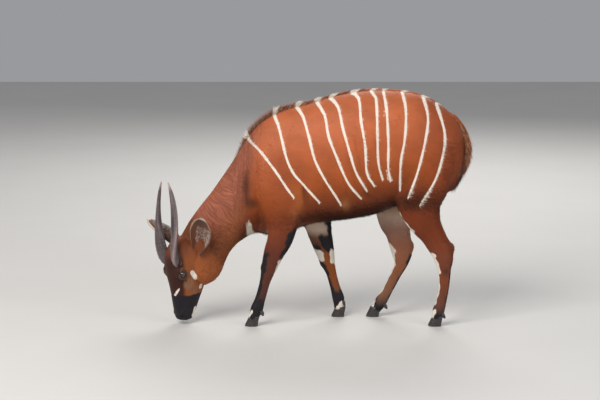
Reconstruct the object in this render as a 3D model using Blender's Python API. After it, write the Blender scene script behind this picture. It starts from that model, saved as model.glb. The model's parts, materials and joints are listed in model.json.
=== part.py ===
"""A grazing bongo antelope as closed solids that meet face to face, in metres.

+Z is up, the nose points to -X and the animal's left side faces -Y. The whole body is lofted, fused
and smoothed, and then parted with thin cuts into the pieces a person would name.
"""

import math
import random

import bmesh
import bpy
import numpy as np
from mathutils import Matrix, Vector

GAP = 0.0003
SEED = 7

# Body sections, rump to skull: back line x, z, underline x, z, distance from the midline, half width
BODY = (
    (0.832, 0.990, 0.832, 0.890, 0.0, 0.045),
    (0.815, 1.055, 0.812, 0.790, 0.0, 0.102),
    (0.772, 1.122, 0.765, 0.715, 0.0, 0.146),
    (0.694, 1.184, 0.690, 0.690, 0.0, 0.176),
    (0.600, 1.230, 0.600, 0.680, 0.0, 0.196),
    (0.497, 1.249, 0.497, 0.645, 0.0, 0.218),
    (0.363, 1.256, 0.363, 0.594, 0.0, 0.238),
    (0.240, 1.245, 0.245, 0.570, 0.0, 0.240),
    (0.123, 1.218, 0.135, 0.556, 0.0, 0.224),
    (0.005, 1.183, 0.035, 0.542, 0.0, 0.196),
    (-0.090, 1.160, -0.040, 0.516, 0.0, 0.174),
    (-0.187, 1.122, -0.115, 0.490, 0.0, 0.156),
    (-0.262, 1.068, -0.172, 0.478, 0.0, 0.142),
    (-0.315, 1.005, -0.222, 0.480, 0.0, 0.131),
    (-0.362, 0.928, -0.262, 0.488, -0.002, 0.122),
    (-0.408, 0.856, -0.300, 0.476, -0.004, 0.110),
    (-0.460, 0.780, -0.336, 0.456, -0.007, 0.099),
    (-0.516, 0.702, -0.370, 0.430, -0.011, 0.090),
    (-0.574, 0.630, -0.402, 0.396, -0.015, 0.085),
    (-0.622, 0.563, -0.428, 0.352, -0.018, 0.082),
    (-0.660, 0.502, -0.447, 0.300, -0.022, 0.074),
    (-0.690, 0.442, -0.466, 0.258, -0.030, 0.064),
    (-0.702, 0.390, -0.500, 0.224, -0.040, 0.054),
    (-0.704, 0.350, -0.545, 0.204, -0.052, 0.042),
)
NECK_STARTS = 15

# Leg sections, top to coronet: half depth, half width
FORE_SECTIONS = (
    (0.050, 0.030),
    (0.095, 0.044),
    (0.110, 0.050),
    (0.108, 0.056),
    (0.080, 0.053),
    (0.067, 0.047),
    (0.058, 0.041),
    (0.049, 0.037),
    (0.042, 0.036),
    (0.031, 0.027),
    (0.029, 0.024),
    (0.030, 0.024),
    (0.035, 0.030),
    (0.029, 0.030),
    (0.029, 0.031),
    (0.028, 0.031),
)
HIND_SECTIONS = (
    (0.070, 0.040),
    (0.140, 0.070),
    (0.150, 0.078),
    (0.122, 0.072),
    (0.104, 0.064),
    (0.086, 0.054),
    (0.070, 0.045),
    (0.064, 0.039),
    (0.062, 0.037),
    (0.052, 0.036),
    (0.038, 0.030),
    (0.032, 0.026),
    (0.030, 0.024),
    (0.031, 0.025),
    (0.035, 0.030),
    (0.030, 0.031),
    (0.029, 0.031),
)

# Leg paths, top to coronet: x, distance from the midline, z
FORE_LEFT = (
    (-0.115, 0.075, 1.060),
    (-0.165, 0.108, 0.900),
    (-0.180, 0.126, 0.760),
    (-0.135, 0.128, 0.640),
    (-0.134, 0.131, 0.530),
    (-0.147, 0.130, 0.465),
    (-0.171, 0.126, 0.410),
    (-0.190, 0.121, 0.356),
    (-0.203, 0.118, 0.313),
    (-0.221, 0.116, 0.248),
    (-0.2355, 0.115, 0.193),
    (-0.251, 0.114, 0.139),
    (-0.267, 0.113, 0.092),
    (-0.280, 0.112, 0.056),
    (-0.289, 0.112, 0.035),
    (-0.294, 0.112, 0.020),
)
FORE_RIGHT = (
    (-0.100, 0.075, 1.060),
    (-0.140, 0.108, 0.900),
    (-0.120, 0.126, 0.760),
    (-0.020, 0.128, 0.640),
    (0.050, 0.131, 0.530),
    (0.070, 0.130, 0.457),
    (0.088, 0.126, 0.392),
    (0.103, 0.121, 0.338),
    (0.112, 0.118, 0.300),
    (0.131, 0.116, 0.245),
    (0.143, 0.115, 0.200),
    (0.157, 0.114, 0.150),
    (0.172, 0.113, 0.098),
    (0.175, 0.112, 0.060),
    (0.173, 0.112, 0.037),
    (0.171, 0.112, 0.020),
)
HIND_LEFT = (
    (0.600, 0.080, 1.100),
    (0.640, 0.118, 0.930),
    (0.605, 0.130, 0.780),
    (0.593, 0.132, 0.670),
    (0.605, 0.130, 0.610),
    (0.628, 0.127, 0.555),
    (0.659, 0.124, 0.505),
    (0.690, 0.121, 0.452),
    (0.716, 0.119, 0.405),
    (0.726, 0.118, 0.356),
    (0.730, 0.117, 0.302),
    (0.731, 0.116, 0.240),
    (0.726, 0.115, 0.185),
    (0.715, 0.114, 0.130),
    (0.701, 0.113, 0.078),
    (0.692, 0.112, 0.042),
    (0.685, 0.112, 0.020),
)
HIND_RIGHT = (
    (0.590, 0.080, 1.100),
    (0.590, 0.118, 0.930),
    (0.530, 0.130, 0.770),
    (0.487, 0.132, 0.650),
    (0.474, 0.130, 0.575),
    (0.476, 0.127, 0.515),
    (0.492, 0.124, 0.465),
    (0.503, 0.121, 0.415),
    (0.514, 0.119, 0.370),
    (0.516, 0.118, 0.325),
    (0.510, 0.117, 0.285),
    (0.488, 0.116, 0.240),
    (0.460, 0.115, 0.183),
    (0.431, 0.114, 0.130),
    (0.401, 0.113, 0.078),
    (0.379, 0.112, 0.045),
    (0.364, 0.112, 0.020),
)
LEGS = {
    "foreleg_left": (FORE_LEFT, FORE_SECTIONS, -1.0),
    "foreleg_right": (FORE_RIGHT, FORE_SECTIONS, 1.0),
    "hindleg_left": (HIND_LEFT, HIND_SECTIONS, -1.0),
    "hindleg_right": (HIND_RIGHT, HIND_SECTIONS, 1.0),
}
HOOF_X = {"foreleg_left": -0.297, "foreleg_right": 0.168, "hindleg_left": 0.681, "hindleg_right": 0.357}
COLLAR_HEIGHT = 0.040
COLLAR_SLOPE = 0.30

# Where each leg parts from the trunk: points x, z along the seam, and its distance from the midline
SEAMS = {
    "foreleg_left": (((-0.380, 0.430), (-0.260, 0.478), (-0.010, 0.572), (0.012, 0.540)), 0.075),
    "foreleg_right": (((-0.160, 0.500), (-0.090, 0.524), (0.140, 0.560), (0.220, 0.545)), 0.075),
    "hindleg_left": (((0.330, 0.580), (0.520, 0.655), (0.900, 0.655)), 0.020),
    "hindleg_right": (((0.330, 0.580), (0.520, 0.655), (0.900, 0.655)), 0.020),
}

# Forms of the trunk on its left side, mirrored for the right: centre, radii, height
MUSCLES = [
    ((x, side * y, z), radii, height)
    for side in (-1, 1)
    for (x, y, z), radii, height in (
        ((0.475, 0.19, 1.135), (0.05, 0.06, 0.05), 0.007),
        ((0.405, 0.22, 1.00), (0.07, 0.09, 0.14), -0.008),
        ((-0.315, 0.12, 0.76), (0.03, 0.08, 0.10), -0.010),
        ((-0.195, 0.15, 0.70), (0.07, 0.06, 0.10), 0.005),
        ((0.50, 0.18, 0.665), (0.05, 0.07, 0.06), 0.008),
        ((0.40, 0.16, 0.66), (0.05, 0.08, 0.05), -0.006),
        ((0.62, 0.20, 0.86), (0.10, 0.06, 0.16), 0.006),
        ((-0.02, 0.18, 0.665), (0.035, 0.05, 0.05), 0.006),
        ((0.01, 0.19, 0.83), (0.05, 0.06, 0.16), -0.005),
    )
]

# The head's own frame: l runs down to the nose, s to the animal's left, f out of the forehead
HEAD_TURN = math.radians(38.0)
HEAD_ORIGIN = Vector((-0.742, -0.105, 0.360))
NOSE_WAY = Vector((0.100, 0.040, -0.990)).normalized()
HEAD_CUT_AT = Vector((-0.520, 0.0, 0.450))
HEAD_CUT_WAY = Vector((-0.768, 0.0, -0.640)).normalized()
NECK_CUT_AT = Vector((-0.296, 0.0, 0.740))
NECK_CUT_WAY = Vector((-0.980, 0.0, -0.196)).normalized()

# Skull sections: l, top f, underside f, half width
SKULL = (
    (-0.100, -0.085, -0.165, 0.030),
    (-0.085, -0.050, -0.196, 0.052),
    (-0.055, -0.022, -0.216, 0.066),
    (-0.015, -0.004, -0.228, 0.074),
    (0.030, 0.004, -0.234, 0.078),
    (0.080, 0.005, -0.234, 0.077),
    (0.125, 0.001, -0.232, 0.067),
    (0.165, -0.003, -0.219, 0.058),
    (0.205, -0.005, -0.199, 0.052),
    (0.245, -0.007, -0.174, 0.048),
    (0.285, -0.011, -0.148, 0.048),
    (0.318, -0.019, -0.126, 0.049),
    (0.340, -0.033, -0.108, 0.042),
    (0.350, -0.047, -0.092, 0.028),
)
EYE_PLACE = (0.084, 0.068, -0.040)
EYE_RADIUS = 0.0185
HORN_PATH = (
    (0.026, 0.043, -0.046),
    (-0.008, 0.049, -0.020),
    (-0.060, 0.060, -0.011),
    (-0.130, 0.071, -0.015),
    (-0.205, 0.075, -0.022),
    (-0.280, 0.070, -0.030),
    (-0.350, 0.055, -0.036),
    (-0.413, 0.032, -0.040),
)
HORN_SECTIONS = (
    (0.031, 0.024),
    (0.030, 0.023),
    (0.028, 0.021),
    (0.026, 0.0185),
    (0.0215, 0.0155),
    (0.0160, 0.0115),
    (0.0105, 0.0080),
    (0.0028, 0.0024),
)

# Ear sections, base to tip: share of the length, radius of the bent leaf, half the angle it wraps
EAR_LENGTH = 0.236
EAR = (
    (0.00, 0.024, 125.0),
    (0.16, 0.036, 112.0),
    (0.38, 0.056, 88.0),
    (0.60, 0.068, 68.0),
    (0.80, 0.066, 50.0),
    (0.92, 0.052, 35.0),
    (1.00, 0.024, 20.0),
)
TAIL = (
    (0.735, 0.000, 1.135, 0.014, 0.020),
    (0.768, 0.000, 1.112, 0.022, 0.030),
    (0.810, 0.000, 1.060, 0.023, 0.033),
    (0.842, -0.003, 0.985, 0.021, 0.030),
    (0.848, -0.006, 0.920, 0.020, 0.029),
    (0.832, -0.010, 0.855, 0.022, 0.030),
    (0.806, -0.013, 0.800, 0.019, 0.027),
    (0.789, -0.015, 0.765, 0.008, 0.012),
)

COLOURS = {
    "torso": ((0.36, 0.105, 0.035), 0.8),
    "neck": ((0.30, 0.085, 0.035), 0.8),
    "head": ((0.20, 0.070, 0.035), 0.8),
    "tail": ((0.42, 0.160, 0.060), 0.85),
    "foreleg_left": ((0.17, 0.055, 0.030), 0.8),
    "foreleg_right": ((0.24, 0.110, 0.055), 0.8),
    "hindleg_left": ((0.26, 0.085, 0.035), 0.8),
    "hindleg_right": ((0.25, 0.110, 0.060), 0.8),
    "ear": ((0.12, 0.055, 0.035), 0.85),
    "horn": ((0.11, 0.095, 0.085), 0.5),
    "eye": ((0.012, 0.008, 0.006), 0.12),
    "claw": ((0.020, 0.018, 0.018), 0.45),
    "dewclaw": ((0.022, 0.019, 0.018), 0.5),
}


def head_axes():
    """The head's frame as three unit vectors: down the nose, out of the forehead, to its left."""
    down = NOSE_WAY
    out = Vector((-math.cos(HEAD_TURN), -math.sin(HEAD_TURN), 0.0))
    out = (out - out.dot(down) * down).normalized()
    return down, out, out.cross(down)


def head_point(length, side, out):
    """A point given in the head's frame, in the animal's frame."""
    down, front, left = head_axes()
    return HEAD_ORIGIN + length * down + side * left + out * front


def clear_scene():
    """Starts from an empty scene."""
    for old in list(bpy.data.objects):
        bpy.data.objects.remove(old)


def paint(made, key):
    """Gives a solid its own plain material."""
    colour, roughness = COLOURS[key]
    coat = bpy.data.materials.new(made.name)
    coat.use_nodes = True
    shader = coat.node_tree.nodes["Principled BSDF"]
    shader.inputs["Base Color"].default_value = (*colour, 1.0)
    shader.inputs["Roughness"].default_value = roughness
    shader.inputs["Metallic"].default_value = 0.0
    made.data.materials.clear()
    made.data.materials.append(coat)


def smooth_stations(stations, spacing):
    """Stations read along a Catmull-Rom curve through the given ones, about spacing apart."""
    given = np.array(stations, float)
    held = np.vstack([2 * given[0] - given[1], given, 2 * given[-1] - given[-2]])
    found = []
    for i in range(1, len(held) - 2):
        a, b, c, d = held[i - 1 : i + 3]
        steps = max(1, round(float(np.linalg.norm((c - b)[:3])) / spacing))
        for step in range(steps):
            t = step / steps
            bend = (2 * a - 5 * b + 4 * c - d) * t * t + (3 * b - a - 3 * c + d) * t ** 3
            found.append(b + 0.5 * ((c - a) * t + bend))
    found.append(given[-1])
    return [station.tolist() for station in found]


def oval(depth, width, corners, crown, count):
    """(across, along) round a superellipse that narrows by crown towards its top."""
    points = []
    for i in range(count):
        turn = 2 * math.pi * i / count
        c, s = math.cos(turn), math.sin(turn)
        across = width * math.copysign(abs(c) ** (2 / corners), c)
        along = depth * math.copysign(abs(s) ** (2 / corners), s)
        points.append((across * (1 - crown * s), along))
    return points


def skin_rings(mesh, rings):
    """Joins rings of vertices into one closed tube with flat ends."""
    faces = []
    for lower, upper in zip(rings, rings[1:]):
        count = len(lower)
        for i in range(count):
            j = (i + 1) % count
            faces.append(mesh.faces.new((lower[i], lower[j], upper[j], upper[i])))
    faces.append(mesh.faces.new(list(reversed(rings[0]))))
    faces.append(mesh.faces.new(rings[-1]))
    bmesh.ops.recalc_face_normals(mesh, faces=faces)


def loft(mesh, stations, place, corners=2.2, crown=0.0, count=28):
    """Adds a tube whose rings are placed by place(station, next station)."""
    rings = []
    for here, ahead in zip(stations, [*stations[1:], None]):
        centre, across_way, along_way, depth, width = place(here, ahead)
        rings.append([
            mesh.verts.new(centre + across * across_way + along * along_way)
            for across, along in oval(depth, width, corners, crown, count)
        ])
    skin_rings(mesh, rings)


def body_place(here, _ahead):
    """A ring that stands between a point of the back line and one of the underline."""
    top = Vector((here[0], here[4], here[1]))
    low = Vector((here[2], here[4], here[3]))
    along = (top - low).normalized()
    return (top + low) / 2, Vector((0, 1, 0)), along, (top - low).length / 2, here[5]


def skull_place(here, _ahead):
    """A ring across the skull at one place down the nose line."""
    length, top, bottom, width = here
    _, front, left = head_axes()
    return head_point(length, 0.0, (top + bottom) / 2), left, front, (top - bottom) / 2, width


def limb_placer():
    """Rings square to a path of x, y, z, half depth, half width, with their width along Y."""
    last = [None]

    def place(here, ahead):
        centre = Vector(here[:3])
        way = (Vector(ahead[:3]) - centre).normalized() if ahead is not None else last[0]
        if last[0] is not None:
            way = (way + last[0]).normalized()
        last[0] = way
        side = (Vector((0, 1, 0)) - way.y * way).normalized()
        return centre, side, way.cross(side), here[3], here[4]

    return place


def leg_stations(path, sections, side):
    """A leg's path and sections as one list, on its own side of the midline."""
    return [(x, side * y, z, depth, width) for (x, y, z), (depth, width) in zip(path, sections)]


def solid(name, mesh):
    """An object made from a bmesh."""
    data = bpy.data.meshes.new(name)
    mesh.to_mesh(data)
    mesh.free()
    made = bpy.data.objects.new(name, data)
    bpy.context.scene.collection.objects.link(made)
    return made


def ball(mesh, centre, radii, turn=None, segments=20):
    """Adds an ellipsoid with its axes along the columns of turn."""
    matrix = Matrix.Translation(centre)
    if turn is not None:
        matrix = matrix @ turn.to_4x4()
    matrix = matrix @ Matrix.Diagonal((*radii, 1.0))
    bmesh.ops.create_uvsphere(
        mesh, u_segments=segments, v_segments=segments // 2, radius=1.0, matrix=matrix
    )


def apply_modifiers(made):
    """Writes an object's modifiers into its mesh."""
    graph = bpy.context.evaluated_depsgraph_get()
    data = bpy.data.meshes.new_from_object(made.evaluated_get(graph))
    made.modifiers.clear()
    made.data = data
    return made


def fuse(made, voxel):
    """One closed surface round everything in made."""
    remesh = made.modifiers.new("fuse", "REMESH")
    remesh.mode = "VOXEL"
    remesh.voxel_size = voxel
    return apply_modifiers(made)


def coordinates(made):
    """An object's vertex positions as an array."""
    points = np.empty(len(made.data.vertices) * 3, np.float32)
    made.data.vertices.foreach_get("co", points)
    return points.reshape(-1, 3)


def move_points(made, points):
    """Writes vertex positions back to an object."""
    made.data.vertices.foreach_set("co", points.astype(np.float32).ravel())
    made.data.update()


def directions(made):
    """An object's vertex normals as an array."""
    found = np.empty(len(made.data.vertices) * 3, np.float32)
    made.data.vertex_normals.foreach_get("vector", found)
    return found.reshape(-1, 3)


def soften(made, places, rounds, everywhere=0.0):
    """Smooths made near the places (centre, radius), and by the share everywhere elsewhere."""
    points = coordinates(made)
    weight = np.full(len(points), everywhere)
    for centre, radius in places:
        away = np.linalg.norm(points - np.array(centre), axis=1) / radius
        weight = np.maximum(weight, np.clip(1.6 - 1.6 * away, 0.0, 1.0))
    group = made.vertex_groups.new(name="soft")
    for level in range(1, 11):
        chosen = np.nonzero(np.round(weight * 10) == level)[0].tolist()
        if chosen:
            group.add(chosen, level / 10, "REPLACE")
    smooth = made.modifiers.new("soften", "SMOOTH")
    smooth.factor = 0.5
    smooth.iterations = rounds
    smooth.vertex_group = group.name
    apply_modifiers(made)
    made.vertex_groups.clear()
    return made


def relief(made, forms):
    """Pushes the surface out or in along its normals, by height times a bell round each centre."""
    points = coordinates(made)
    outward = directions(made)
    push = np.zeros(len(points))
    for centre, radii, height in forms:
        away = (points - np.array(centre)) / np.array(radii)
        push += height * np.exp(-2.0 * (away ** 2).sum(1))
    move_points(made, points + outward * push[:, None])


def thin_out(made, triangles):
    """Keeps about this many triangles, more of them where the surface bends."""
    count = sum(len(face.vertices) - 2 for face in made.data.polygons)
    fewer = made.modifiers.new("thin_out", "DECIMATE")
    fewer.ratio = min(1.0, triangles / count)
    return apply_modifiers(made)


def combine(made, other, operation, solver="EXACT"):
    """Applies one Boolean against an object or a collection, and leaves no operand behind."""
    cut = made.modifiers.new("combine", "BOOLEAN")
    cut.operation = operation
    cut.solver = solver
    if isinstance(other, bpy.types.Collection):
        cut.operand_type = "COLLECTION"
        cut.collection = other
    else:
        cut.object = other
    return apply_modifiers(made)


def discard(*objects):
    """Removes helper objects."""
    for item in objects:
        bpy.data.objects.remove(item)


def keep_largest(made):
    """Keeps the largest connected piece of a mesh."""
    mesh = bmesh.new()
    mesh.from_mesh(made.data)
    mesh.verts.ensure_lookup_table()
    seen = set()
    islands = []
    for start in mesh.verts:
        if start in seen:
            continue
        island = [start]
        seen.add(start)
        for vert in island:
            for edge in vert.link_edges:
                far = edge.other_vert(vert)
                if far not in seen:
                    seen.add(far)
                    island.append(far)
        islands.append(island)
    islands.sort(key=len)
    extra = [vert for island in islands[:-1] for vert in island]
    bmesh.ops.delete(mesh, geom=extra, context="VERTS")
    mesh.to_mesh(made.data)
    mesh.free()
    return made


def half_space(name, point, way, size=3.0):
    """A large box that fills the side of a plane that way points to."""
    mesh = bmesh.new()
    turn = way.to_track_quat("Z", "Y").to_matrix().to_4x4()
    matrix = Matrix.Translation(point) @ turn @ Matrix.Translation((0, 0, size / 2))
    bmesh.ops.create_cube(mesh, size=size, matrix=matrix)
    return solid(name, mesh)


def slice_away(made, point, way):
    """Cuts off everything on the side of a plane that way points to."""
    cutter = half_space("cutter", point, way)
    combine(made, cutter, "DIFFERENCE")
    discard(cutter)
    return made


def prism(name, outline, near, far):
    """A block with an outline in x and z, from y = near to y = far."""
    mesh = bmesh.new()
    rings = [[mesh.verts.new((x, y, z)) for x, z in outline] for y in (near, far)]
    skin_rings(mesh, rings)
    return solid(name, mesh)


def copy_of(made, name):
    """A separate copy of an object."""
    twin = bpy.data.objects.new(name, made.data.copy())
    bpy.context.scene.collection.objects.link(twin)
    return twin


def grown(made, distance):
    """A copy whose surface is moved outwards by a distance."""
    twin = copy_of(made, "grown")
    move_points(twin, coordinates(twin) + directions(twin) * distance)
    return twin


def fit_to(made, body, solver="EXACT", gap=GAP):
    """Cuts made back to a thin gap from body."""
    cutter = grown(body, gap)
    combine(made, cutter, "DIFFERENCE", solver)
    discard(cutter)
    return keep_largest(made)


def whole_body():
    """Trunk, neck and four legs as one surface."""
    mesh = bmesh.new()
    trunk = smooth_stations(BODY, 0.03)
    loft(mesh, trunk, body_place, corners=2.25, crown=0.10, count=48)
    for path, sections, side in LEGS.values():
        loft(mesh, smooth_stations(leg_stations(path, sections, side), 0.02), limb_placer())
        hind = sections is HIND_SECTIONS
        joint = path[8]
        if hind:
            ball(mesh, (joint[0] + 0.046, side * joint[1], joint[2] + 0.016), (0.024, 0.020, 0.036))
            thigh = path[1]
            ball(mesh, (thigh[0] - 0.010, side * 0.128, thigh[2] - 0.050), (0.150, 0.068, 0.190))
        else:
            ball(mesh, (joint[0] - 0.010, side * joint[1], joint[2] + 0.004), (0.036, 0.037, 0.042))
            ball(mesh, (-0.085, side * 0.122, 0.700), (0.078, 0.050, 0.120))
            ball(mesh, (-0.205, side * 0.105, 0.760), (0.085, 0.058, 0.150))
    body = fuse(solid("body", mesh), 0.006)
    folds = []
    for side in (-1, 1):
        folds += [((-0.01, side * 0.12, 0.60), 0.12), ((-0.25, side * 0.09, 0.55), 0.13)]
        folds += [((-0.12, side * 0.13, 0.98), 0.20), ((-0.05, side * 0.17, 0.82), 0.16)]
        folds += [((0.45, side * 0.13, 0.70), 0.14), ((0.70, side * 0.13, 0.70), 0.12)]
        folds += [((0.55, side * 0.16, 1.02), 0.22), ((-0.30, side * 0.08, 0.80), 0.16)]
    folds += [((0.50, 0.0, 0.66), 0.16), ((-0.10, 0.0, 0.50), 0.14), ((0.66, 0.0, 0.68), 0.16)]
    soften(body, folds, 24, 0.35)
    relief(body, MUSCLES)
    return body


def whole_head():
    """Skull, brows, cheeks, jaw, lips and lids as one surface, with the neck behind them."""
    mesh = bmesh.new()
    down, front, left = head_axes()
    turn = Matrix((left, down, front)).transposed()
    loft(mesh, smooth_stations(SKULL, 0.012), skull_place, corners=2.3, crown=-0.06, count=40)
    loft(mesh, smooth_stations(BODY[NECK_STARTS:], 0.03), body_place, corners=2.25, crown=0.10, count=48)
    for side in (-1, 1):
        ball(mesh, head_point(0.070, side * 0.050, -0.022), (0.022, 0.036, 0.015), turn)
        ball(mesh, head_point(0.095, side * 0.046, -0.140), (0.030, 0.080, 0.074), turn)
        ball(mesh, head_point(0.008, side * 0.046, -0.026), (0.028, 0.046, 0.018), turn)
        ball(mesh, head_point(-0.012, side * 0.050, -0.132), (0.040, 0.060, 0.056), turn)
        ball(mesh, head_point(0.308, side * 0.027, -0.038), (0.022, 0.034, 0.022), turn)
    ball(mesh, head_point(0.322, 0.0, -0.098), (0.034, 0.026, 0.020), turn)
    ball(mesh, head_point(0.324, 0.0, -0.048), (0.038, 0.024, 0.034), turn)
    head = fuse(solid("head", mesh), 0.0035)
    joints = [(head_point(0.12, 0.0, -0.21), 0.10), (head_point(-0.09, 0.0, -0.08), 0.10)]
    for side in (-1, 1):
        joints += [(head_point(-0.02, side * 0.07, -0.13), 0.10), (head_point(0.03, side * 0.05, -0.02), 0.07)]
        joints += [(head_point(0.08, side * 0.07, -0.03), 0.06)]
    soften(head, joints, 30, 0.55)
    forms = []
    for side in (-1, 1):
        eye = head_point(EYE_PLACE[0], side * EYE_PLACE[1], EYE_PLACE[2])
        above = head_point(EYE_PLACE[0] - 0.012, side * 0.074, EYE_PLACE[2] + 0.020)
        forms += [(above, (0.016, 0.020, 0.016), 0.005)]
        forms += [(head_point(0.135, side * 0.060, -0.040), (0.020, 0.020, 0.030), -0.005)]
        forms += [(head_point(0.185, side * 0.052, -0.050), (0.030, 0.030, 0.040), -0.004)]
        forms += [(head_point(0.150, side * 0.050, -0.150), (0.030, 0.030, 0.045), 0.004)]
        forms += [(eye, (0.030, 0.030, 0.034), 0.002)]
    relief(head, forms)
    return head


def lid(side, upper):
    """One rim of the opening of one eye, thicker above it."""
    down, front, left = head_axes()
    centre = head_point(EYE_PLACE[0], side * EYE_PLACE[1], EYE_PLACE[2])
    out = (side * left * 0.93 + front * 0.36 - down * 0.06).normalized()
    along = (down - down.dot(out) * out).normalized()
    across = out.cross(along)
    if across.dot(front) < 0:
        across = -across
    mesh = bmesh.new()
    stations = []
    for i in range(11):
        t = -1 + i / 5
        arch = 0.0120 if upper else -0.0085
        lift = arch * math.cos(t * math.pi / 2)
        reach = (0.0210 if upper else 0.0200) * t
        depth = math.sqrt(max(0.0, EYE_RADIUS ** 2 - lift ** 2 - min(abs(reach), 0.0165) ** 2))
        spot = centre + along * reach + across * lift + out * (depth - 0.0006)
        thick = (0.0040 if upper else 0.0032) * (1 - 0.35 * t * t)
        stations.append((*spot, thick, thick * 1.15))
    loft(mesh, stations, limb_placer(), corners=2.0, count=8)
    return solid("lid", mesh)


def lip_line(side):
    """A thin blade that cuts the mouth line into one side of the muzzle."""
    _, front, left = head_axes()
    mesh = bmesh.new()
    line = ((0.352, -0.072), (0.335, -0.078), (0.310, -0.086), (0.280, -0.096), (0.250, -0.102), (0.238, -0.100))
    rings = []
    for length, out in line:
        reach = 0.030 if length > 0.3 else 0.036
        rings.append([
            mesh.verts.new(head_point(length, side * inner, out + rise))
            for inner, rise in ((reach, 0.0), (0.062, 0.0026), (0.062, -0.0026))
        ])
    skin_rings(mesh, rings)
    return solid("blade", mesh)


def shape_head(head):
    """Cuts the sockets, nostrils and mouth line and adds the lids."""
    for side in (-1, 1):
        for upper in (True, False):
            rim = lid(side, upper)
            combine(head, rim, "UNION")
            discard(rim)
        mesh = bmesh.new()
        centre = head_point(EYE_PLACE[0], side * EYE_PLACE[1], EYE_PLACE[2])
        ball(mesh, centre, (EYE_RADIUS + GAP,) * 3, segments=16)
        socket = solid("socket", mesh)
        combine(head, socket, "DIFFERENCE")
        discard(socket)
        mesh = bmesh.new()
        down, front, left = head_axes()
        slant = (down * 0.80 - front * 0.45 + side * left * 0.20).normalized()
        across = (side * left - side * left.dot(slant) * slant).normalized()
        turn = Matrix((across, slant, across.cross(slant))).transposed()
        ball(mesh, head_point(0.322, side * 0.034, -0.022), (0.0075, 0.0125, 0.0050), turn, 12)
        nostril = solid("nostril", mesh)
        combine(head, nostril, "DIFFERENCE")
        discard(nostril)
        blade = lip_line(side)
        combine(head, blade, "DIFFERENCE")
        discard(blade)
    return keep_largest(head)


def make_eye(side):
    """One eyeball, which fills its socket."""
    mesh = bmesh.new()
    centre = head_point(EYE_PLACE[0], side * EYE_PLACE[1], EYE_PLACE[2])
    ball(mesh, centre, (EYE_RADIUS,) * 3, segments=16)
    return solid("eye_left" if side > 0 else "eye_right", mesh)


def make_horn(side, head):
    """One horn: an oval section that turns as it climbs, with a ridge, drawn to a point."""
    down, front, left = head_axes()
    stations = smooth_stations(
        [(*place, *section) for place, section in zip(HORN_PATH, HORN_SECTIONS)], 0.040
    )
    centres = [head_point(length, side * across, out) for length, across, out, _, _ in stations]
    mesh = bmesh.new()
    rings = []
    for i, (_, _, _, long, short) in enumerate(stations):
        ahead = centres[min(i + 1, len(centres) - 1)]
        behind = centres[max(i - 1, 0)]
        way = (ahead - behind).normalized()
        share = i / (len(stations) - 1)
        spin = side * math.radians(20 + 150 * share)
        base = (front - front.dot(way) * way).normalized()
        other = way.cross(base)
        major = base * math.cos(spin) + other * math.sin(spin)
        minor = way.cross(major)
        ring = []
        for k in range(10):
            turn = 2 * math.pi * k / 10
            keel = 1.0 + 0.16 * max(0.0, math.cos(turn)) ** 4
            ring.append(mesh.verts.new(
                centres[i] + major * long * keel * math.cos(turn) + minor * short * math.sin(turn)
            ))
        rings.append(ring)
    skin_rings(mesh, rings)
    horn = solid("horn_left" if side > 0 else "horn_right", mesh)
    return fit_to(horn, head, gap=2 * GAP)


def make_ear(side, head, neck):
    """One ear: a broad leaf bent round its own length into a cup, with thickness."""
    down, front, left = head_axes()
    if side > 0:
        base = head_point(-0.026, 0.104, -0.122)
        way = Vector((0.20, -0.40, 0.89)).normalized()
        face = Vector((-0.42, -0.88, -0.05))
    else:
        base = head_point(-0.026, -0.092, -0.125)
        way = Vector((-0.66, 0.30, 0.68)).normalized()
        face = Vector((-0.45, 0.10, -0.60))
    face = (face - face.dot(way) * way).normalized()
    across = way.cross(face)
    mesh = bmesh.new()
    rows = []
    for t, _, _, radius, curl in smooth_stations([(t, 0, 0, r, c) for t, r, c in EAR], 0.13):
        row = []
        for j in range(7):
            angle = math.radians(curl) * (j / 3 - 1)
            sag = radius * (math.cos(angle) - math.cos(math.radians(curl)))
            row.append(mesh.verts.new(
                base + way * (EAR_LENGTH * t - 0.014) + across * radius * math.sin(angle)
                - face * (sag - 0.010 * t * t)
            ))
        rows.append(row)
    for low, high in zip(rows, rows[1:]):
        for j in range(6):
            mesh.faces.new((low[j], low[j + 1], high[j + 1], high[j]))
    ear = solid("ear_left" if side > 0 else "ear_right", mesh)
    skin = ear.modifiers.new("thickness", "SOLIDIFY")
    skin.thickness = 0.006
    skin.offset = 0.0
    apply_modifiers(ear)
    mesh = bmesh.new()
    mesh.from_mesh(ear.data)
    bmesh.ops.recalc_face_normals(mesh, faces=mesh.faces)
    bmesh.ops.triangulate(mesh, faces=mesh.faces)
    mesh.to_mesh(ear.data)
    mesh.free()
    return fit_to(fit_to(ear, head, "MANIFOLD"), neck, "MANIFOLD")


def lock(mesh, root, way, flat, length, width, bend, thickness=0.28):
    """Adds one flat tapering lock that starts under the skin and curves by bend towards its tip."""
    side = way.cross(flat).normalized()
    rings = []
    for share, breadth in ((0.0, 0.85), (0.42, 1.0), (0.78, 0.62), (1.0, 0.12)):
        centre = root + way * length * share + bend * share * share
        half = width * breadth / 2
        rings.append([
            mesh.verts.new(centre + side * half),
            mesh.verts.new(centre + flat * half * thickness),
            mesh.verts.new(centre - side * half),
            mesh.verts.new(centre - flat * half * thickness),
        ])
    skin_rings(mesh, rings)


def add_locks(made, locks):
    """Fuses a list of locks to a solid with one union."""
    group = bpy.data.collections.new("locks")
    bpy.context.scene.collection.children.link(group)
    for root, way, flat, length, width, bend in locks:
        mesh = bmesh.new()
        lock(mesh, root, way, flat, length, width, bend)
        data = bpy.data.meshes.new("lock")
        mesh.to_mesh(data)
        mesh.free()
        group.objects.link(bpy.data.objects.new("lock", data))
    combine(made, group, "UNION")
    for item in list(group.objects):
        bpy.data.objects.remove(item)
    bpy.data.collections.remove(group)
    return keep_largest(made)


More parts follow.
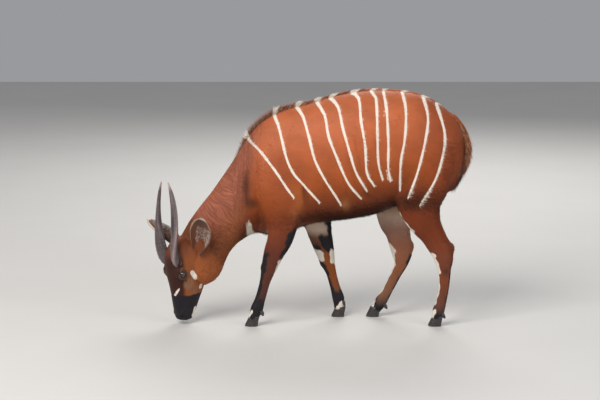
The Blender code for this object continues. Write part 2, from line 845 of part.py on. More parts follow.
def crest_locks(torso):
    """Locks along the spine: tall and upright at the withers, short and laid back behind."""
    rng = random.Random(SEED)
    points = coordinates(torso)
    locks = []
    x = -0.305
    while x < 0.66:
        share = (x + 0.305) / 0.965
        length = 0.052 - 0.030 * min(1.0, share * 1.6) + rng.uniform(-0.006, 0.006)
        lean = 0.25 + 0.75 * min(1.0, share * 2.2) + rng.uniform(-0.08, 0.08)
        near = points[(np.abs(points[:, 0] - x) < 0.03) & (np.abs(points[:, 1]) < 0.05)]
        top = float(near[:, 2].max())
        y = rng.uniform(-0.010, 0.010)
        slope = 0.0 if x > -0.15 else 0.9
        away = Vector((-slope * 0.6, 0, 1.0)).normalized()
        way = (away + Vector((lean, rng.uniform(-0.25, 0.25), 0))).normalized()
        flat = Vector((0, 1, 0)) - way.y * way
        root = Vector((x, y, top)) - away * 0.016
        bend = Vector((0.35 * length, 0, -0.18 * length))
        locks.append((root, way, flat.normalized(), length + 0.018, 0.030, bend))
        x += 0.0155
    return locks


def make_tail(torso):
    """The tail against the rump, with a hanging tuft at its end."""
    stations = smooth_stations(TAIL, 0.03)
    mesh = bmesh.new()
    loft(mesh, stations, limb_placer(), corners=2.2, count=12)
    tail = solid("tail", mesh)
    line = np.array(stations)
    rng = random.Random(SEED + 1)
    locks = []
    for i in range(28):
        z = 1.03 - 0.25 * i / 27
        at = line[np.abs(line[4:, 2] - z).argmin() + 4]
        across = rng.uniform(-0.8, 0.8)
        root = Vector((at[0] + 0.004, at[1] + across * 0.022, z))
        way = Vector((0.10 + rng.uniform(0.0, 0.15), across * 0.28, -1.0)).normalized()
        if z < 0.92:
            way = Vector((-0.30 + rng.uniform(0.0, 0.25), across * 0.28, -1.0)).normalized()
        flat = Vector((1, 0, 0)) - way.x * way
        bend = Vector((-0.012, 0, 0))
        locks.append((root, way, flat.normalized(), rng.uniform(0.060, 0.085), 0.026, bend))
    add_locks(tail, locks)
    return fit_to(tail, torso, "MANIFOLD")


def make_claw(name, centre_x, y, inner):
    """One claw of a hoof: flat sole, sloping front wall, rounded heel, cut below the coronet."""
    outline = []
    for i in range(12):
        turn = 2 * math.pi * i / 12
        c, s = math.cos(turn), math.sin(turn)
        reach = -0.034 * c
        half = 0.0135 * math.copysign(abs(s) ** 0.75, s)
        narrow = 1.0 - 0.55 * max(0.0, c) ** 2.2
        outline.append((reach, half * narrow - inner * 0.004 * max(0.0, c) ** 1.5))
    mesh = bmesh.new()
    rings = []
    for z, size, shift in ((0.0, 1.0, 0.0), (0.004, 1.015, 0.0006), (0.026, 0.90, 0.0075), (0.060, 0.76, 0.019)):
        rings.append([
            mesh.verts.new((centre_x + shift + x * size, y + across * (0.35 + 0.65 * size), z))
            for x, across in outline
        ])
    skin_rings(mesh, rings)
    claw = solid(name, mesh)
    point = Vector((centre_x, 0, COLLAR_HEIGHT - GAP))
    return slice_away(claw, point, Vector((COLLAR_SLOPE, 0, 1.0)).normalized())


def make_dewclaw(name, place, side, leg):
    """One small blunt dewclaw behind the fetlock."""
    mesh = bmesh.new()
    way = Vector((0.60, side * 0.12, -0.80)).normalized()
    stations = []
    for share, size in ((-0.5, 0.0090), (0.0, 0.0095), (0.55, 0.0085), (1.0, 0.0045)):
        spot = place + way * (0.023 * share)
        stations.append((*spot, size, size * 0.9))
    loft(mesh, stations, limb_placer(), corners=2.0, count=8)
    return fit_to(solid(name, mesh), leg)


def leg_block(name, side, growth):
    """The block of space that belongs to one leg, from the floor to its seam with the trunk."""
    seam, near = SEAMS[name]
    outline = [(x, z + growth) for x, z in seam]
    outline += [(seam[-1][0], -0.05), (seam[0][0], -0.05)]
    return prism("block", outline, side * (near - growth), side * 0.30)


def part_body(body):
    """Parts the whole body into trunk, neck and legs with thin gaps."""
    made = {}
    for name, (path, _, side) in LEGS.items():
        leg = copy_of(body, name)
        block = leg_block(name, side, 0.0)
        combine(leg, block, "INTERSECT")
        discard(block)
        point = Vector((HOOF_X[name], 0, COLLAR_HEIGHT))
        slice_away(leg, point, -Vector((COLLAR_SLOPE, 0, 1.0)).normalized())
        made[name] = keep_largest(leg)
    neck = copy_of(body, "neck")
    slice_away(neck, NECK_CUT_AT + NECK_CUT_WAY * GAP, -NECK_CUT_WAY)
    slice_away(neck, HEAD_CUT_AT - HEAD_CUT_WAY * GAP, HEAD_CUT_WAY)
    made["neck"] = keep_largest(neck)
    torso = body
    torso.name = "torso"
    slice_away(torso, NECK_CUT_AT, NECK_CUT_WAY)
    for name, (path, _, side) in LEGS.items():
        block = leg_block(name, side, GAP)
        combine(torso, block, "DIFFERENCE")
        discard(block)
    made["torso"] = keep_largest(torso)
    return made


def centre_over_origin(solids):
    """Shifts every solid so that the box round them all stands centred on the origin."""
    every = np.vstack([coordinates(item) for item in solids])
    middle = (every.min(0) + every.max(0)) / 2
    for item in solids:
        move_points(item, coordinates(item) - np.array([middle[0], middle[1], 0.0]))


def main():
    """Builds every node."""
    clear_scene()
    body = thin_out(whole_body(), 4200)
    made = part_body(body)
    head = thin_out(whole_head(), 2300)
    slice_away(head, HEAD_CUT_AT, -HEAD_CUT_WAY)
    shape_head(head)
    made["head"] = head
    for side in (-1, 1):
        for item in (make_eye(side), make_horn(side, head), make_ear(side, head, made["neck"])):
            made[item.name] = item
    made["tail"] = make_tail(made["torso"])
    add_locks(made["torso"], crest_locks(made["torso"]))
    for name, (path, _, side) in LEGS.items():
        leg = made[name]
        ankle = path[-3] if name.startswith("hind") else path[-4]
        short = name.replace("leg", "")
        for inner in (-1, 1):
            spot = "inner" if inner * side < 0 else "outer"
            claw = make_claw(f"claw_{short}_{spot}", HOOF_X[name], side * 0.112 + inner * 0.0152, inner)
            made[claw.name] = claw
            place = Vector((ankle[0] + 0.022, side * 0.113 + inner * 0.0150, ankle[2] - 0.016))
            dewclaw = make_dewclaw(f"dewclaw_{short}_{spot}", place, inner, leg)
            made[dewclaw.name] = dewclaw
    centre_over_origin(made.values())
    for name, item in made.items():
        key = name if name in COLOURS else name.split("_")[0]
        paint(item, key)


main()
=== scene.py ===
# %% [markdown]
# # A grazing bongo antelope, life size
# A bongo stands with its nose at the ground: a deep chestnut barrel with eleven thin white bands, a
# bristling crest, twisted horns and legs patched in black and white. It is one soft body, so one skin
# is made for trunk, neck, head and legs, and coat, eyes, horns, ears, tail and hooves go over it.
# Every shape below is worked out with numpy from a few named sizes, in metres, on the floor z = 0.

import json
import math

import bpy
import numpy as np
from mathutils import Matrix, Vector

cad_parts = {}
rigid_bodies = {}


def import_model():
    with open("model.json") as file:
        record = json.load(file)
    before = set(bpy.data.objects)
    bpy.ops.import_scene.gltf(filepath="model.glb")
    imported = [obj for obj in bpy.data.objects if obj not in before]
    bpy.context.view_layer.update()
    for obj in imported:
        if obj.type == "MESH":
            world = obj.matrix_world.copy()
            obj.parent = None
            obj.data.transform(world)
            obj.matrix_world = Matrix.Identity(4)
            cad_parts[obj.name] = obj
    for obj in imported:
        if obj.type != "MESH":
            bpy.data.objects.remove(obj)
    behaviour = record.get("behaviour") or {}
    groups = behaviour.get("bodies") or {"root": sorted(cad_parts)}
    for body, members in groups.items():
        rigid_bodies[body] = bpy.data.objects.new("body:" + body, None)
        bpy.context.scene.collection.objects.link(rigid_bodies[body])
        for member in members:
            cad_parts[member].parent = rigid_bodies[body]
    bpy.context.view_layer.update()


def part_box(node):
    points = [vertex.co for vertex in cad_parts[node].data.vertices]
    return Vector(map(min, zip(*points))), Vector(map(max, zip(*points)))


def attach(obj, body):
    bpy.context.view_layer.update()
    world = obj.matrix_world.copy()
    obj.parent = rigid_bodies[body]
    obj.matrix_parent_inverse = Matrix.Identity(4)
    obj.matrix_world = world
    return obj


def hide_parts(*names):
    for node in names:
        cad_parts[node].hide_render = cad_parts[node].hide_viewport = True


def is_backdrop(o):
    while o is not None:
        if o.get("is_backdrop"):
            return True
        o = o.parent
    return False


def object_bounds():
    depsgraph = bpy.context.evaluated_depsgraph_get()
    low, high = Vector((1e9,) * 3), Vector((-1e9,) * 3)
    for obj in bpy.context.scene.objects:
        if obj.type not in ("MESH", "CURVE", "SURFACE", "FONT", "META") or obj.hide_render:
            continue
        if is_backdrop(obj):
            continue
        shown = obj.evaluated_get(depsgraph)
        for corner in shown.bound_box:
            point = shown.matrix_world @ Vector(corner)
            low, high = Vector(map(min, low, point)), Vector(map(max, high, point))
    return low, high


for old in list(bpy.data.objects):
    bpy.data.objects.remove(old)
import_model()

# %% [markdown]
# ## The sizes of the body
# The trunk and neck are one row of rings, each between a point of the back line and one of the
# underline. That way the side view is exactly the outline of the animal, and the half widths give the
# front view. Legs are paths with a half depth and a half width at each station.

# %% Rings of the trunk and neck
BODY = np.array([
    (0.832, 0.990, 0.832, 0.890, 0.0, 0.045), (0.815, 1.055, 0.812, 0.790, 0.0, 0.102),
    (0.772, 1.122, 0.765, 0.715, 0.0, 0.146), (0.694, 1.184, 0.690, 0.690, 0.0, 0.176),
    (0.600, 1.230, 0.600, 0.680, 0.0, 0.196), (0.497, 1.249, 0.497, 0.645, 0.0, 0.218),
    (0.363, 1.256, 0.363, 0.594, 0.0, 0.238), (0.240, 1.245, 0.245, 0.570, 0.0, 0.240),
    (0.123, 1.218, 0.135, 0.556, 0.0, 0.224), (0.005, 1.183, 0.035, 0.542, 0.0, 0.196),
    (-0.090, 1.160, -0.040, 0.516, 0.0, 0.174), (-0.187, 1.122, -0.115, 0.490, 0.0, 0.156),
    (-0.262, 1.068, -0.172, 0.478, 0.0, 0.142), (-0.315, 1.005, -0.222, 0.480, 0.0, 0.131),
    (-0.362, 0.928, -0.262, 0.488, -0.002, 0.122), (-0.408, 0.856, -0.300, 0.476, -0.004, 0.110),
    (-0.460, 0.780, -0.336, 0.456, -0.007, 0.099), (-0.516, 0.702, -0.370, 0.430, -0.011, 0.090),
    (-0.574, 0.630, -0.402, 0.396, -0.015, 0.085), (-0.622, 0.563, -0.428, 0.352, -0.018, 0.082),
    (-0.660, 0.502, -0.447, 0.300, -0.022, 0.074), (-0.690, 0.442, -0.466, 0.258, -0.030, 0.064),
    (-0.702, 0.390, -0.500, 0.224, -0.040, 0.054), (-0.704, 0.350, -0.545, 0.204, -0.052, 0.042),
])
COAT_DEPTH = 0.0035
SHORT_COAT = 0.0015
print("body rings", len(BODY))

# %% Paths and sections of the legs
FORE_SECTIONS = np.array([
    (0.050, 0.030), (0.095, 0.044), (0.110, 0.050), (0.108, 0.056), (0.080, 0.053), (0.067, 0.047),
    (0.058, 0.041), (0.049, 0.037), (0.042, 0.036), (0.031, 0.027), (0.029, 0.024), (0.030, 0.024),
    (0.035, 0.030), (0.029, 0.030), (0.029, 0.031), (0.028, 0.031),
])
HIND_SECTIONS = np.array([
    (0.070, 0.040), (0.140, 0.070), (0.150, 0.078), (0.122, 0.072), (0.104, 0.064), (0.086, 0.054),
    (0.070, 0.045), (0.064, 0.039), (0.062, 0.037), (0.052, 0.036), (0.038, 0.030), (0.032, 0.026),
    (0.030, 0.024), (0.031, 0.025), (0.035, 0.030), (0.030, 0.031), (0.029, 0.031),
])
FORE_OUT = (
    0.075, 0.108, 0.126, 0.128, 0.131, 0.130, 0.126, 0.121, 0.118, 0.116, 0.115, 0.114, 0.113,
    0.112, 0.112, 0.112,
)
HIND_OUT = (
    0.080, 0.118, 0.130, 0.132, 0.130, 0.127, 0.124, 0.121, 0.119, 0.118, 0.117, 0.116, 0.115,
    0.114, 0.113, 0.112, 0.112,
)


def leg_path(out, places):
    """Stations (x, y, z) from the distances out of the middle plane, which a pair of legs shares."""
    return np.array([(x, y, z) for y, (x, z) in zip(out, places)])


FORE_LEFT = leg_path(FORE_OUT, (
    (-0.115, 1.060), (-0.165, 0.900), (-0.180, 0.760), (-0.135, 0.640), (-0.134, 0.530),
    (-0.147, 0.465), (-0.171, 0.410), (-0.190, 0.356), (-0.203, 0.313), (-0.221, 0.248),
    (-0.2355, 0.193), (-0.251, 0.139), (-0.267, 0.092), (-0.280, 0.056), (-0.289, 0.035),
    (-0.294, 0.020),
))
FORE_RIGHT = leg_path(FORE_OUT, (
    (-0.100, 1.060), (-0.140, 0.900), (-0.120, 0.760), (-0.020, 0.640), (0.050, 0.530),
    (0.070, 0.457), (0.088, 0.392), (0.103, 0.338), (0.112, 0.300), (0.131, 0.245),
    (0.143, 0.200), (0.157, 0.150), (0.172, 0.098), (0.175, 0.060), (0.173, 0.037),
    (0.171, 0.020),
))
HIND_LEFT = leg_path(HIND_OUT, (
    (0.600, 1.100), (0.640, 0.930), (0.605, 0.780), (0.593, 0.670), (0.605, 0.610),
    (0.628, 0.555), (0.659, 0.505), (0.690, 0.452), (0.716, 0.405), (0.726, 0.356),
    (0.730, 0.302), (0.731, 0.240), (0.726, 0.185), (0.715, 0.130), (0.701, 0.078),
    (0.692, 0.042), (0.685, 0.020),
))
HIND_RIGHT = leg_path(HIND_OUT, (
    (0.590, 1.100), (0.590, 0.930), (0.530, 0.770), (0.487, 0.650), (0.474, 0.575),
    (0.476, 0.515), (0.492, 0.465), (0.503, 0.415), (0.514, 0.370), (0.516, 0.325),
    (0.510, 0.285), (0.488, 0.240), (0.460, 0.183), (0.431, 0.130), (0.401, 0.078),
    (0.379, 0.045), (0.364, 0.020),
))
LEGS = {
    "foreleg_left": (FORE_LEFT, FORE_SECTIONS, -1.0, -0.297),
    "foreleg_right": (FORE_RIGHT, FORE_SECTIONS, 1.0, 0.168),
    "hindleg_left": (HIND_LEFT, HIND_SECTIONS, -1.0, 0.681),
    "hindleg_right": (HIND_RIGHT, HIND_SECTIONS, 1.0, 0.357),
}
COLLAR_HEIGHT, COLLAR_SLOPE = 0.040, 0.30
print("legs", list(LEGS))

# %% [markdown]
# ## The head's own frame
# The head hangs nearly upright and is turned towards its left, so its sizes are easier to give along
# the nose line, across, and out of the forehead, and then turned into the animal's frame.

# %% Head frame and skull rings
def unit(v):
    """Each vector over its own length."""
    v = np.asarray(v, float)
    return v / np.maximum(np.linalg.norm(v, axis=-1, keepdims=True), 1e-12)


HEAD_ORIGIN = np.array((-0.742, -0.105, 0.360))
DOWN = unit((0.100, 0.040, -0.990))
FRONT = np.array((-math.cos(math.radians(38)), -math.sin(math.radians(38)), 0.0))
FRONT = unit(FRONT - FRONT.dot(DOWN) * DOWN)
LEFT = np.cross(FRONT, DOWN)


def head_point(length, side, out):
    """Origin + length along the nose + side to the left + out from the forehead."""
    length, side, out = (np.asarray(v, float)[..., None] for v in (length, side, out))
    return HEAD_ORIGIN + length * DOWN + side * LEFT + out * FRONT


SKULL = np.array([
    (-0.100, -0.085, -0.165, 0.030), (-0.085, -0.050, -0.196, 0.052), (-0.055, -0.022, -0.216, 0.066),
    (-0.015, -0.004, -0.228, 0.074), (0.030, 0.004, -0.234, 0.078), (0.080, 0.005, -0.234, 0.077),
    (0.125, 0.001, -0.232, 0.067), (0.165, -0.003, -0.219, 0.058), (0.205, -0.005, -0.199, 0.052),
    (0.245, -0.007, -0.174, 0.048), (0.285, -0.011, -0.148, 0.048), (0.318, -0.019, -0.126, 0.049),
    (0.340, -0.033, -0.108, 0.042), (0.350, -0.047, -0.092, 0.028),
])
EYE_PLACE = (0.084, 0.068, -0.040)
EYE_RADIUS = 0.0185
HORN_PATH = np.array([
    (0.026, 0.043, -0.046), (-0.008, 0.049, -0.020), (-0.060, 0.060, -0.011), (-0.130, 0.071, -0.015),
    (-0.205, 0.075, -0.022), (-0.280, 0.070, -0.030), (-0.350, 0.055, -0.036), (-0.413, 0.032, -0.040),
])
HORN_SECTIONS = np.array([
    (0.031, 0.024), (0.030, 0.023), (0.028, 0.021), (0.026, 0.0185), (0.0215, 0.0155),
    (0.0160, 0.0115), (0.0105, 0.0080), (0.0028, 0.0024),
])
EAR_LENGTH = 0.236
EAR = np.array([
    (0.00, 0.024, 125.0), (0.16, 0.036, 112.0), (0.38, 0.056, 88.0), (0.60, 0.068, 68.0),
    (0.80, 0.066, 50.0), (0.92, 0.052, 35.0), (1.00, 0.024, 20.0),
])
TAIL = np.array([
    (0.735, 0.000, 1.135, 0.014, 0.020), (0.768, 0.000, 1.112, 0.022, 0.030),
    (0.810, 0.000, 1.060, 0.023, 0.033), (0.842, -0.003, 0.985, 0.021, 0.030),
    (0.848, -0.006, 0.920, 0.020, 0.029), (0.832, -0.010, 0.855, 0.022, 0.030),
    (0.806, -0.013, 0.800, 0.019, 0.027), (0.789, -0.015, 0.765, 0.008, 0.012),
])
eye_low, eye_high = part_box("eye_left")
SHIFT = (np.array(eye_low) + np.array(eye_high)) / 2 - head_point(*EYE_PLACE)
print("the packed model stands", np.round(SHIFT, 4), "from these sizes")

# %% [markdown]
# ## Tools for making surfaces
# A surface here is a table of points and its faces. Curves go through given stations, a tube is a ring
# carried along a curve, and each mesh is filled in one call from whole arrays.

# %% Curves and tubes
def curve_through(rows, spacing):
    """Catmull-Rom: between two stations a cubic of them and the two beyond, read every spacing."""
    p = np.asarray(rows, float)
    held = np.vstack([2 * p[0] - p[1], p, 2 * p[-1] - p[-2]])
    spans = np.linalg.norm(np.diff(p[:, :3], axis=0), axis=1)
    steps = np.maximum(1, np.round(spans / spacing)).astype(int)
    at = np.repeat(np.arange(len(steps)), steps)
    first = np.concatenate([[0], np.cumsum(steps)[:-1]])
    t = ((np.arange(steps.sum()) - first[at]) / steps[at])[:, None]
    a, b, c, d = (held[at + k] for k in range(4))
    bend = (2 * a - 5 * b + 4 * c - d) * t * t + (3 * b - a - 3 * c + d) * t ** 3
    return np.vstack([b + 0.5 * ((c - a) * t + bend), p[-1]])


def ring_tube(centre, across_way, along_way, depth, width, corners=2.2, crown=0.0, count=40):
    """Superellipse rings: across = width |cos|^(2/corners), along = depth |sin|^(2/corners)."""
    turn = np.linspace(0.0, 2 * math.pi, count, endpoint=False)[None]
    c, s = np.cos(turn), np.sin(turn)
    across = width[:, None] * np.sign(c) * np.abs(c) ** (2 / corners) * (1 - crown * s)
    along = depth[:, None] * np.sign(s) * np.abs(s) ** (2 / corners)
    return (centre[:, None] + across[..., None] * across_way[:, None]
            + along[..., None] * along_way[:, None])


def path_frames(centre, side=(0.0, 1.0, 0.0)):
    """Along a path: the side direction made square to it, and the one square to both."""
    way = unit(np.gradient(centre, axis=0))
    across = unit(np.asarray(side) - (way @ np.asarray(side))[:, None] * way)
    return across, np.cross(way, across)


def close_tube(grid):
    """A grid of rings as points, quads and triangles, each end closed with a fan round its middle."""
    rings, count = grid.shape[:2]
    points = np.vstack([grid.reshape(-1, 3), grid[0].mean(0), grid[-1].mean(0)])
    i = np.arange(rings - 1)[:, None] * count
    j = np.arange(count)[None]
    k = (j + 1) % count
    quads = np.stack([i + j, i + k, i + k + count, i + j + count], -1).reshape(-1, 4)
    j, k = np.arange(count), (np.arange(count) + 1) % count
    last = (rings - 1) * count
    tris = np.vstack([np.stack([k, j, np.full(count, rings * count)], 1),
                      np.stack([last + j, last + k, np.full(count, rings * count + 1)], 1)])
    return points, quads, tris


def ellipsoid(centre, radii, axes=None, rings=14, count=24):
    """Latitude rings: radius sin(latitude) across, cos(latitude) up, each times its own radius."""
    lat = np.linspace(0.02, math.pi - 0.02, rings)[:, None]
    turn = np.linspace(0, 2 * math.pi, count, endpoint=False)[None]
    ball = np.stack([np.sin(lat) * np.cos(turn), np.sin(lat) * np.sin(turn),
                     np.cos(lat) * np.ones_like(turn)], -1) * np.asarray(radii)
    axes = np.eye(3) if axes is None else np.asarray(axes)
    return close_tube(np.asarray(centre) + ball @ axes)


def gather(shapes):
    """Many points-quads-triangles shapes as one, with the faces of each moved past those before."""
    start = np.cumsum([0] + [len(s[0]) for s in shapes[:-1]])
    return (np.vstack([s[0] for s in shapes]),
            np.vstack([s[1] + n for s, n in zip(shapes, start)]),
            np.vstack([s[2] + n for s, n in zip(shapes, start)]))


print("tools ready")

# %% Meshes from arrays
def outward(points, quads, tris):
    """Turns all faces if the volume, a sixth of the sum of a . (b x c), comes out negative."""
    every = np.vstack([quads[:, :3], quads[:, [0, 2, 3]], tris])
    a, b, c = (points[every[:, k]] - points.mean(0) for k in range(3))
    if (a * np.cross(b, c)).sum() < 0:
        quads, tris = quads[:, ::-1], tris[:, ::-1]
    return points, quads, tris


def piece(name, shape, material=None, smooth=True, moved=True):
    """A mesh object filled from arrays: quads first, then triangles, shifted into the frame."""
    points, quads, tris = outward(*shape)
    data = bpy.data.meshes.new(name)
    data.vertices.add(len(points))
    data.vertices.foreach_set("co", (points + (SHIFT if moved else 0)).astype(np.float32).ravel())
    data.loops.add(quads.size + tris.size)
    corners = np.concatenate([quads.ravel(), tris.ravel()]).astype(np.int32)
    data.loops.foreach_set("vertex_index", corners)
    starts = np.concatenate([np.arange(len(quads)) * 4, quads.size + np.arange(len(tris)) * 3])
    data.polygons.add(len(starts))
    data.polygons.foreach_set("loop_start", starts.astype(np.int32))
    data.polygons.foreach_set("use_smooth", np.full(len(starts), smooth))
    data.update(calc_edges=True)
    data.validate()
    made = bpy.data.objects.new(name, data)
    bpy.context.scene.collection.objects.link(made)
    if material is not None:
        data.materials.append(material)
    return made


def numbers(items, key, width, kind=np.float32):
    """One property of every item of a mesh as an array."""
    out = np.empty(len(items) * width, kind)
    items.foreach_get(key, out)
    return out.reshape(-1, width) if width > 1 else out


def give(made, name, values):
    """Stores one number or colour per point as a named attribute."""
    values = np.asarray(values, np.float32)
    if values.ndim == 1:
        kind, key = "FLOAT", "value"
    elif values.shape[1] == 3 and name.endswith("lie"):
        kind, key = "FLOAT_VECTOR", "vector"
    else:
        kind, key = "FLOAT_COLOR", "color"
        values = np.hstack([values, np.ones((len(values), 1), np.float32)])
    made.data.attributes.new(name, kind, "POINT").data.foreach_set(key, values.ravel())


def written(made):
    """The object with its modifiers written into its mesh."""
    graph = bpy.context.evaluated_depsgraph_get()
    data = bpy.data.meshes.new_from_object(made.evaluated_get(graph))
    made.modifiers.clear()
    old, made.data = made.data, data
    bpy.data.meshes.remove(old)
    return made


def step(low, high, value):
    """0 below low, 1 above high, and 3t² - 2t³ between them."""
    t = np.clip((value - low) / (high - low), 0.0, 1.0)
    return t * t * (3 - 2 * t)


print("mesh tools ready")

# %% [markdown]
# ## The skin
# On the animal one hide runs over everything from the muzzle to the hooves. It could be sculpted, or
# lofted in pieces, but pieces leave seams at the shoulder and thigh. Here closed tubes and balls for
# all the masses overlap, a voxel remesh makes one surface round them, and numpy smooths and presses
# the muscles into it. Space round the head is stretched to twice its size first, so that the face
# gets voxels half as large, and is brought back afterwards.

# %% Masses under the skin
def body_tube(rows, inset, count):
    """A ring stands between its back-line point and underline point, half its length deep."""
    top = np.stack([rows[:, 0], rows[:, 4], rows[:, 1]], 1)
    low = np.stack([rows[:, 2], rows[:, 4], rows[:, 3]], 1)
    along = unit(top - low)
    depth = np.linalg.norm(top - low, axis=1) / 2 - inset
    across = np.tile((0.0, 1.0, 0.0), (len(rows), 1))
    return ring_tube((top + low) / 2, across, along, depth, rows[:, 5] - inset, 2.25, 0.10, count)


def leg_line(name, spacing):
    """A leg's centre line with its half depth and half width, on its own side."""
    path, sections, side, _ = LEGS[name]
    rows = curve_through(np.hstack([path * (1, side, 1), sections]), spacing)
    return rows[:, :3], rows[:, 3], rows[:, 4]


# centre along the nose, to the side and out of the forehead, and radii
HEAD_BALLS = (
    ((0.070, 0.050, -0.022), (0.022, 0.036, 0.015)), ((0.095, 0.046, -0.140), (0.029, 0.080, 0.074)),
    ((0.008, 0.046, -0.026), (0.028, 0.046, 0.018)), ((-0.012, 0.050, -0.132), (0.039, 0.060, 0.055)),
    ((0.306, 0.026, -0.040), (0.022, 0.034, 0.020)),
)


def masses():
    """Every closed tube and ball that the skin is drawn over."""
    shapes = [close_tube(body_tube(curve_through(BODY, 0.02), COAT_DEPTH, 64))]
    for name, (path, sections, side, _) in LEGS.items():
        line, depth, width = leg_line(name, 0.012)
        kept = line[:, 2] > 0.026
        line, depth, width = line[kept], depth[kept], width[kept]
        inset = SHORT_COAT + 0.002 * step(0.5, 0.8, line[:, 2])
        across, along = path_frames(line)
        rings = ring_tube(line, across, along, depth - inset, width - inset, 2.2, 0, 36)
        shapes.append(close_tube(rings))
        joint, thigh = path[8], path[1]
        if sections is HIND_SECTIONS:
            balls = (((joint[0] + 0.046, joint[1], joint[2] + 0.016), (0.023, 0.018, 0.035)),
                     ((thigh[0] - 0.010, 0.128, thigh[2] - 0.050), (0.147, 0.065, 0.187)))
        else:
            balls = (((joint[0] - 0.010, joint[1], joint[2] + 0.004), (0.035, 0.035, 0.041)),
                     ((-0.085, 0.122, 0.700), (0.075, 0.047, 0.117)),
                     ((-0.205, 0.105, 0.760), (0.082, 0.055, 0.147)))
        shapes += [ellipsoid((x, side * y, z), radii) for (x, y, z), radii in balls]
    rows = curve_through(SKULL, 0.008)
    centre = head_point(rows[:, 0], 0.0, (rows[:, 1] + rows[:, 2]) / 2)
    many = np.ones((len(rows), 1))
    depth, width = (rows[:, 1] - rows[:, 2]) / 2 - 0.001, rows[:, 3] - 0.001
    rings = ring_tube(centre, many * LEFT, many * FRONT, depth, width, 2.3, -0.06, 56)
    shapes.append(close_tube(rings))
    axes = np.array((LEFT, DOWN, FRONT))
    shapes += [ellipsoid(head_point(a, side * b, c), radii, axes)
               for side in (-1, 1) for (a, b, c), radii in HEAD_BALLS]
    shapes.append(ellipsoid(head_point(0.322, 0.0, -0.098), (0.033, 0.025, 0.019), axes))
    shapes.append(ellipsoid(head_point(0.324, 0.0, -0.048), (0.036, 0.023, 0.033), axes))
    return shapes


flesh = masses()
print("masses under the skin", len(flesh))

# %% One surface round the masses
HEAD_CENTRE = head_point(0.14, 0.0, -0.10)
REACH = 0.27
VOXEL = 0.0048
SKIN_TRIANGLES = 186000


def stretched(points):
    """Distances from the head's centre doubled up to REACH, and REACH longer past it."""
    away = points - HEAD_CENTRE
    r = np.maximum(np.linalg.norm(away, axis=1, keepdims=True), 1e-9)
    return HEAD_CENTRE + away * np.where(r < REACH, 2.0, 1.0 + REACH / r)


def unstretched(points):
    """The way back: halved up to twice REACH, and REACH shorter past it."""
    away = points - HEAD_CENTRE
    r = np.maximum(np.linalg.norm(away, axis=1, keepdims=True), 1e-9)
    return HEAD_CENTRE + away * np.where(r < 2 * REACH, 0.5, 1.0 - REACH / r)


shape = gather([outward(*s) for s in flesh])
skin = piece("skin", (stretched(shape[0]), shape[1], shape[2]), moved=False)
skin.data.update()
remesh = skin.modifiers.new("one surface", "REMESH")
remesh.mode = "VOXEL"
remesh.voxel_size = VOXEL
skin = written(skin)
surface = unstretched(numbers(skin.data.vertices, "co", 3).astype(float))
edges = numbers(skin.data.edges, "vertices", 2, np.int32)
print("skin points", len(surface))

# %% Smooth the joints, then press in the muscles
def near(points, places, fade=1.6):
    """1 at each (centre, radius), falling straight to 0 at its radius, the largest of them all."""
    found = np.zeros(len(points))
    for centre, radius in places:
        away = np.linalg.norm(points - np.asarray(centre), axis=1) / radius
        found = np.maximum(found, np.clip(fade - fade * away, 0.0, 1.0))
    return found


def smoothed(points, edges, weight, rounds):
    """Each round moves every point by its weight towards the mean of its neighbours."""
    n = len(points)
    a, b = edges[:, 0], edges[:, 1]
    neighbours = np.maximum(np.bincount(a, minlength=n) + np.bincount(b, minlength=n), 1)
    points = points.copy()
    for _ in range(rounds):
        total = np.stack([np.bincount(a, points[b, k], n) + np.bincount(b, points[a, k], n)
                          for k in range(3)], 1)
        points += weight[:, None] * (total / neighbours[:, None] - points)
    return points


# centre on the left and radius
SIDE_FOLDS = (
    ((-0.01, 0.12, 0.60), 0.12), ((-0.25, 0.09, 0.55), 0.13), ((-0.12, 0.13, 0.98), 0.20),
    ((-0.05, 0.17, 0.82), 0.16), ((0.45, 0.13, 0.70), 0.14), ((0.70, 0.13, 0.70), 0.12),
    ((0.55, 0.16, 1.02), 0.22), ((-0.30, 0.08, 0.80), 0.16),
)
FOLDS = [((x, s * y, z), radius) for s in (-1, 1) for (x, y, z), radius in SIDE_FOLDS]
FOLDS += [((0.50, 0.0, 0.66), 0.16), ((-0.10, 0.0, 0.50), 0.14), ((0.66, 0.0, 0.68), 0.16),
          (head_point(0.12, 0.0, -0.21), 0.12), (head_point(-0.09, 0.0, -0.08), 0.12)]
FOLD_ROUNDS, EVEN_ROUNDS = ((45, 8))
finer = np.linalg.norm(surface - HEAD_CENTRE, axis=1) < REACH
weight = np.maximum(near(surface, FOLDS) * 0.6, 0.25)
weight[finer] = np.maximum(0.35, weight[finer])
surface = smoothed(surface, edges, weight, FOLD_ROUNDS)
surface = smoothed(surface, edges, np.full(len(surface), 0.4), EVEN_ROUNDS)


def set_skin(points):
    """Writes the skin's points and reads back its normals."""
    skin.data.vertices.foreach_set("co", points.astype(np.float32).ravel())
    skin.data.update()
    return numbers(skin.data.vertex_normals, "vector", 3).astype(float)


normals = set_skin(surface)
print("smoothed, box", np.round(surface.min(0), 3), np.round(surface.max(0), 3))

# %% [markdown]
# ## Forms of the hide
# Under a short coat the animal shows its shoulder blade, elbow, ribs, hip bone, flank fold, tendons,
# brow, tear duct, nostrils and mouth. Each is a bell pushed in or out along the normals, or a groove
# along a line, so that the form stays smooth and its height is a plain number.

# %% Bells and grooves
def bells(points, forms):
    """Sum of height times exp(-2 times the squared distance over the radii)."""
    push = np.zeros(len(points))
    for centre, radii, height in forms:
        share = (points - np.asarray(centre)) / np.asarray(radii)
        push += height * np.exp(-2.0 * (share ** 2).sum(1))
    return push


